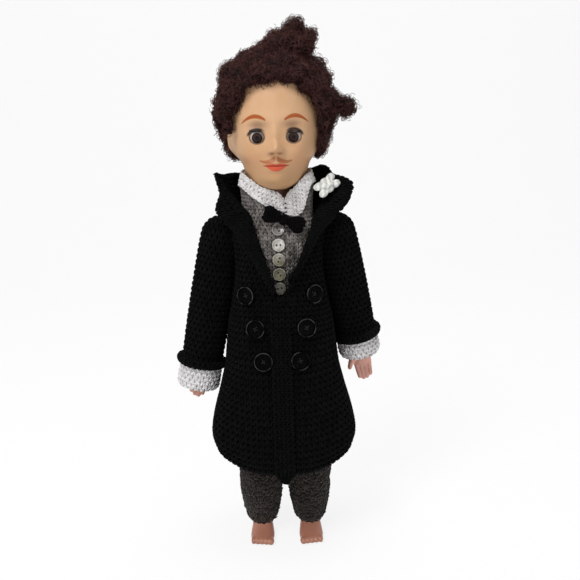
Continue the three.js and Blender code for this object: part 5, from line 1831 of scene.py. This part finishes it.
def hair(look):
    """Frizzy mass: each form under thousands of locks."""
    tree = hair_tree()
    locks = lock_sources()
    for k, (node, form) in enumerate(hair_forms().items()):
        push(form, curls)
        beds = eighths(form) if node == "hair_cap" else [form.data.copy()]
        for j, bed in enumerate(beds):
            obj = link(f"{node}_locks_{j}", bed)
            seed = SEED["hair"] + 5 * k + j
            grow(obj, tree, {"Locks": locks, "Material": look, "Density": HAIR_DENSITY[node], "Seed": seed})
            wear(obj, "head", "hair_fibre")
        # The form under the locks is painted dark by this look: painted shade.
        form.data.materials.clear()
        form.data.materials.append(look)
        wear(form, "head", "hair_fibre", node)
    for lock in list(locks.objects):
        drop(lock)
    bpy.data.collections.remove(locks)


# Stage

def pale_to_camera(lit, kind, share):
    """Shader that is white to the camera and in reflections, for a share, and otherwise stays as lit."""
    rays = ("Is Camera Ray", "Is Glossy Ray", "Is Transmission Ray")
    seen = sum(lit.node("ShaderNodeLightPath", {}, output=ray) for ray in rays)
    white = lit.node(kind, {"Color": (1, 1, 1, 1), "Strength": 1.0})
    factor = seen * share
    return lit.node("ShaderNodeMixShader", {0: factor, 1: lit, 2: white})


def floor():
    """Pale floor that curves up into a backdrop."""
    bend = [
        (BACKDROP_START + BACKDROP_RADIUS * math.sin(t), BACKDROP_RADIUS - BACKDROP_RADIUS * math.cos(t))
        for t in np.linspace(0, BACKDROP_TURN, 16)
    ]
    line = [(-FLOOR_REACH, 0), *bend, (BACKDROP_START + BACKDROP_RADIUS, BACKDROP_TOP)]
    points = [(x, y, z) for y, z in line for x in (-FLOOR_REACH, FLOOR_REACH)]
    obj = new_object("floor", points, grid_faces(len(line), 2))
    material, shader, place = start_material("pale_floor", Roughness=0.9)
    dress(place, shader, Base_Color=place.noise(3, 2).mix(srgb(248, 248, 248), srgb(252, 252, 252)))
    lit = Wire(place.tree, shader.outputs[0])
    seen = pale_to_camera(lit, "ShaderNodeEmission", FLOOR_PALENESS)
    place.feed(material.node_tree.nodes["Material Output"].inputs["Surface"], seen)
    obj.data.materials.append(material)


def lights():
    """Three soft lamps and a dim white sky."""
    for name, (place, aim, width, watts) in LAMPS.items():
        lamp = bpy.data.lights.new(name, "AREA")
        lamp.shape = "DISK"
        lamp.size = width
        lamp.energy = watts
        obj = link(name, lamp)
        obj.location = place
        obj.rotation_euler = (Vector(aim) - Vector(place)).to_track_quat("-Z", "Y").to_euler()
    world = bpy.data.worlds.new("studio")
    world.use_nodes = True
    sky = world.node_tree.nodes["Background"]
    sky.inputs["Color"].default_value = (1, 1, 1, 1)
    sky.inputs["Strength"].default_value = SKY_STRENGTH
    lit = Wire(world.node_tree, sky.outputs[0])
    seen = pale_to_camera(lit, "ShaderNodeBackground", 1.0)
    lit.feed(world.node_tree.nodes["World Output"].inputs["Surface"], seen)
    bpy.context.scene.world = world
    bpy.context.scene.view_settings.view_transform = "Standard"


def camera():
    """Pinhole camera at the photograph's place."""
    lens = bpy.data.cameras.new("camera")
    lens.lens = CAMERA_LENS
    lens.sensor_width = CAMERA_SENSOR
    lens.shift_x = CAMERA_SHIFT
    obj = link("camera", lens)
    obj.location = CAMERA_PLACE
    turn = Matrix.Rotation(math.pi / 2 - CAMERA_DOWN, 4, "X") @ Matrix.Rotation(CAMERA_ROLL, 4, "Z")
    obj.rotation_euler = turn.to_euler()
    bpy.context.scene.camera = obj


# The whole doll

def doll():
    """Head, eyes, limbs and hair, and materials for the CAD nodes inside."""
    limb = limb_material()
    paint("torso_shell", limb)
    head(face_material())
    lash_look = yarn("lash_look", srgb(10, 8, 7), srgb(28, 20, 16))
    case = case_material()
    axle = metal("axle_steel_look", (0.55, 0.55, 0.56, 1), (0.4, 0.4, 0.42, 1), 0.35)
    weight = metal("weight_metal_look", (0.22, 0.23, 0.24, 1), (0.14, 0.14, 0.15, 1), 0.6)
    for name, side in SIDES.items():
        eye(name, side, lash_look)
        paint(f"eye_case_{name}", case)
        paint(f"eye_axle_{name}", axle)
        paint(f"eye_weight_{name}", weight)
        arm(name, side, limb)
        leg(name, side, limb)
    hair(hair_material())


def both_sides(look, *makers):
    """Makes left and right pieces of one look, kind by kind."""
    for make in makers:
        for name, side in SIDES.items():
            make(name, side, look)


def clothes():
    """Every crocheted garment."""
    black = yarn("black_yarn_look", srgb(1, 1, 1), srgb(10, 11, 12), sheen=0.01, shine=0.05)
    # The waistcoat is painted darker lower down: painted shade from the coat.
    grey = yarn("grey_yarn_look", srgb(30, 26, 24), srgb(146, 139, 135), variety=0.6, painted_shade_span=(250, 212))
    white = yarn("white_yarn_look", srgb(200, 196, 196), srgb(242, 240, 240))
    fleck = (srgb(86, 74, 67), 0.12)
    tweed = yarn("trouser_yarn_look", srgb(12, 8, 6), srgb(52, 41, 35), fleck, variety=0.9)
    dark = yarn("bow_yarn_look", srgb(2, 1, 2), srgb(12, 10, 11), sheen=0.01, shine=0.05)
    both_sides(black, coat_body, coat_skirt)
    coat_band(black)
    both_sides(black, coat_collar)
    both_sides(grey, waistcoat)
    both_sides(white, shirt_collar)
    bow_knot(dark)
    trouser_seat(tweed)
    for name, side in SIDES.items():
        sleeve(name, side, black)
        cuff(name, side, white)
        trouser_leg(name, side, tweed)
        bow_loop(name, side, dark)


def trimmings():
    """Buttons and the flower."""
    # Black buttons: the third colour is the painted highlight on their rims.
    black = gloss_material(
        "black_button_look", srgb(1, 1, 1), srgb(4, 4, 5), srgb(78, 78, 82),
        Roughness=0.2, Coat_Weight=0.0, Specular_IOR_Level=0.03,
    )
    petal_white = gloss_material(
        "white_petal_look", srgb(204, 204, 198), srgb(240, 241, 238), srgb(244, 244, 242),
        Roughness=0.22, Coat_Weight=0.4, Specular_IOR_Level=0.3,
    )
    dark_thread = yarn("black_thread_look", srgb(4, 4, 5), srgb(20, 20, 22))
    grey_thread = yarn("grey_thread_look", srgb(40, 38, 34), srgb(80, 76, 70))
    coat = [f"coat_button_{name}_{row}" for name in SIDES for row in (1, 2, 3)]
    buttons(coat, "black_button", COAT_BUTTON, black, dark_thread)
    waist = [f"waistcoat_button_{row}" for row in range(1, 6)]
    buttons(waist, "pearl_button", WAISTCOAT_BUTTON, pearl_material(), grey_thread)
    flower(petal_white)


CROCHET_TREE = crochet_tree()
STITCH = stitch_source()

floor()
lights()
camera()
doll()
clothes()
trimmings()
drop(STITCH)
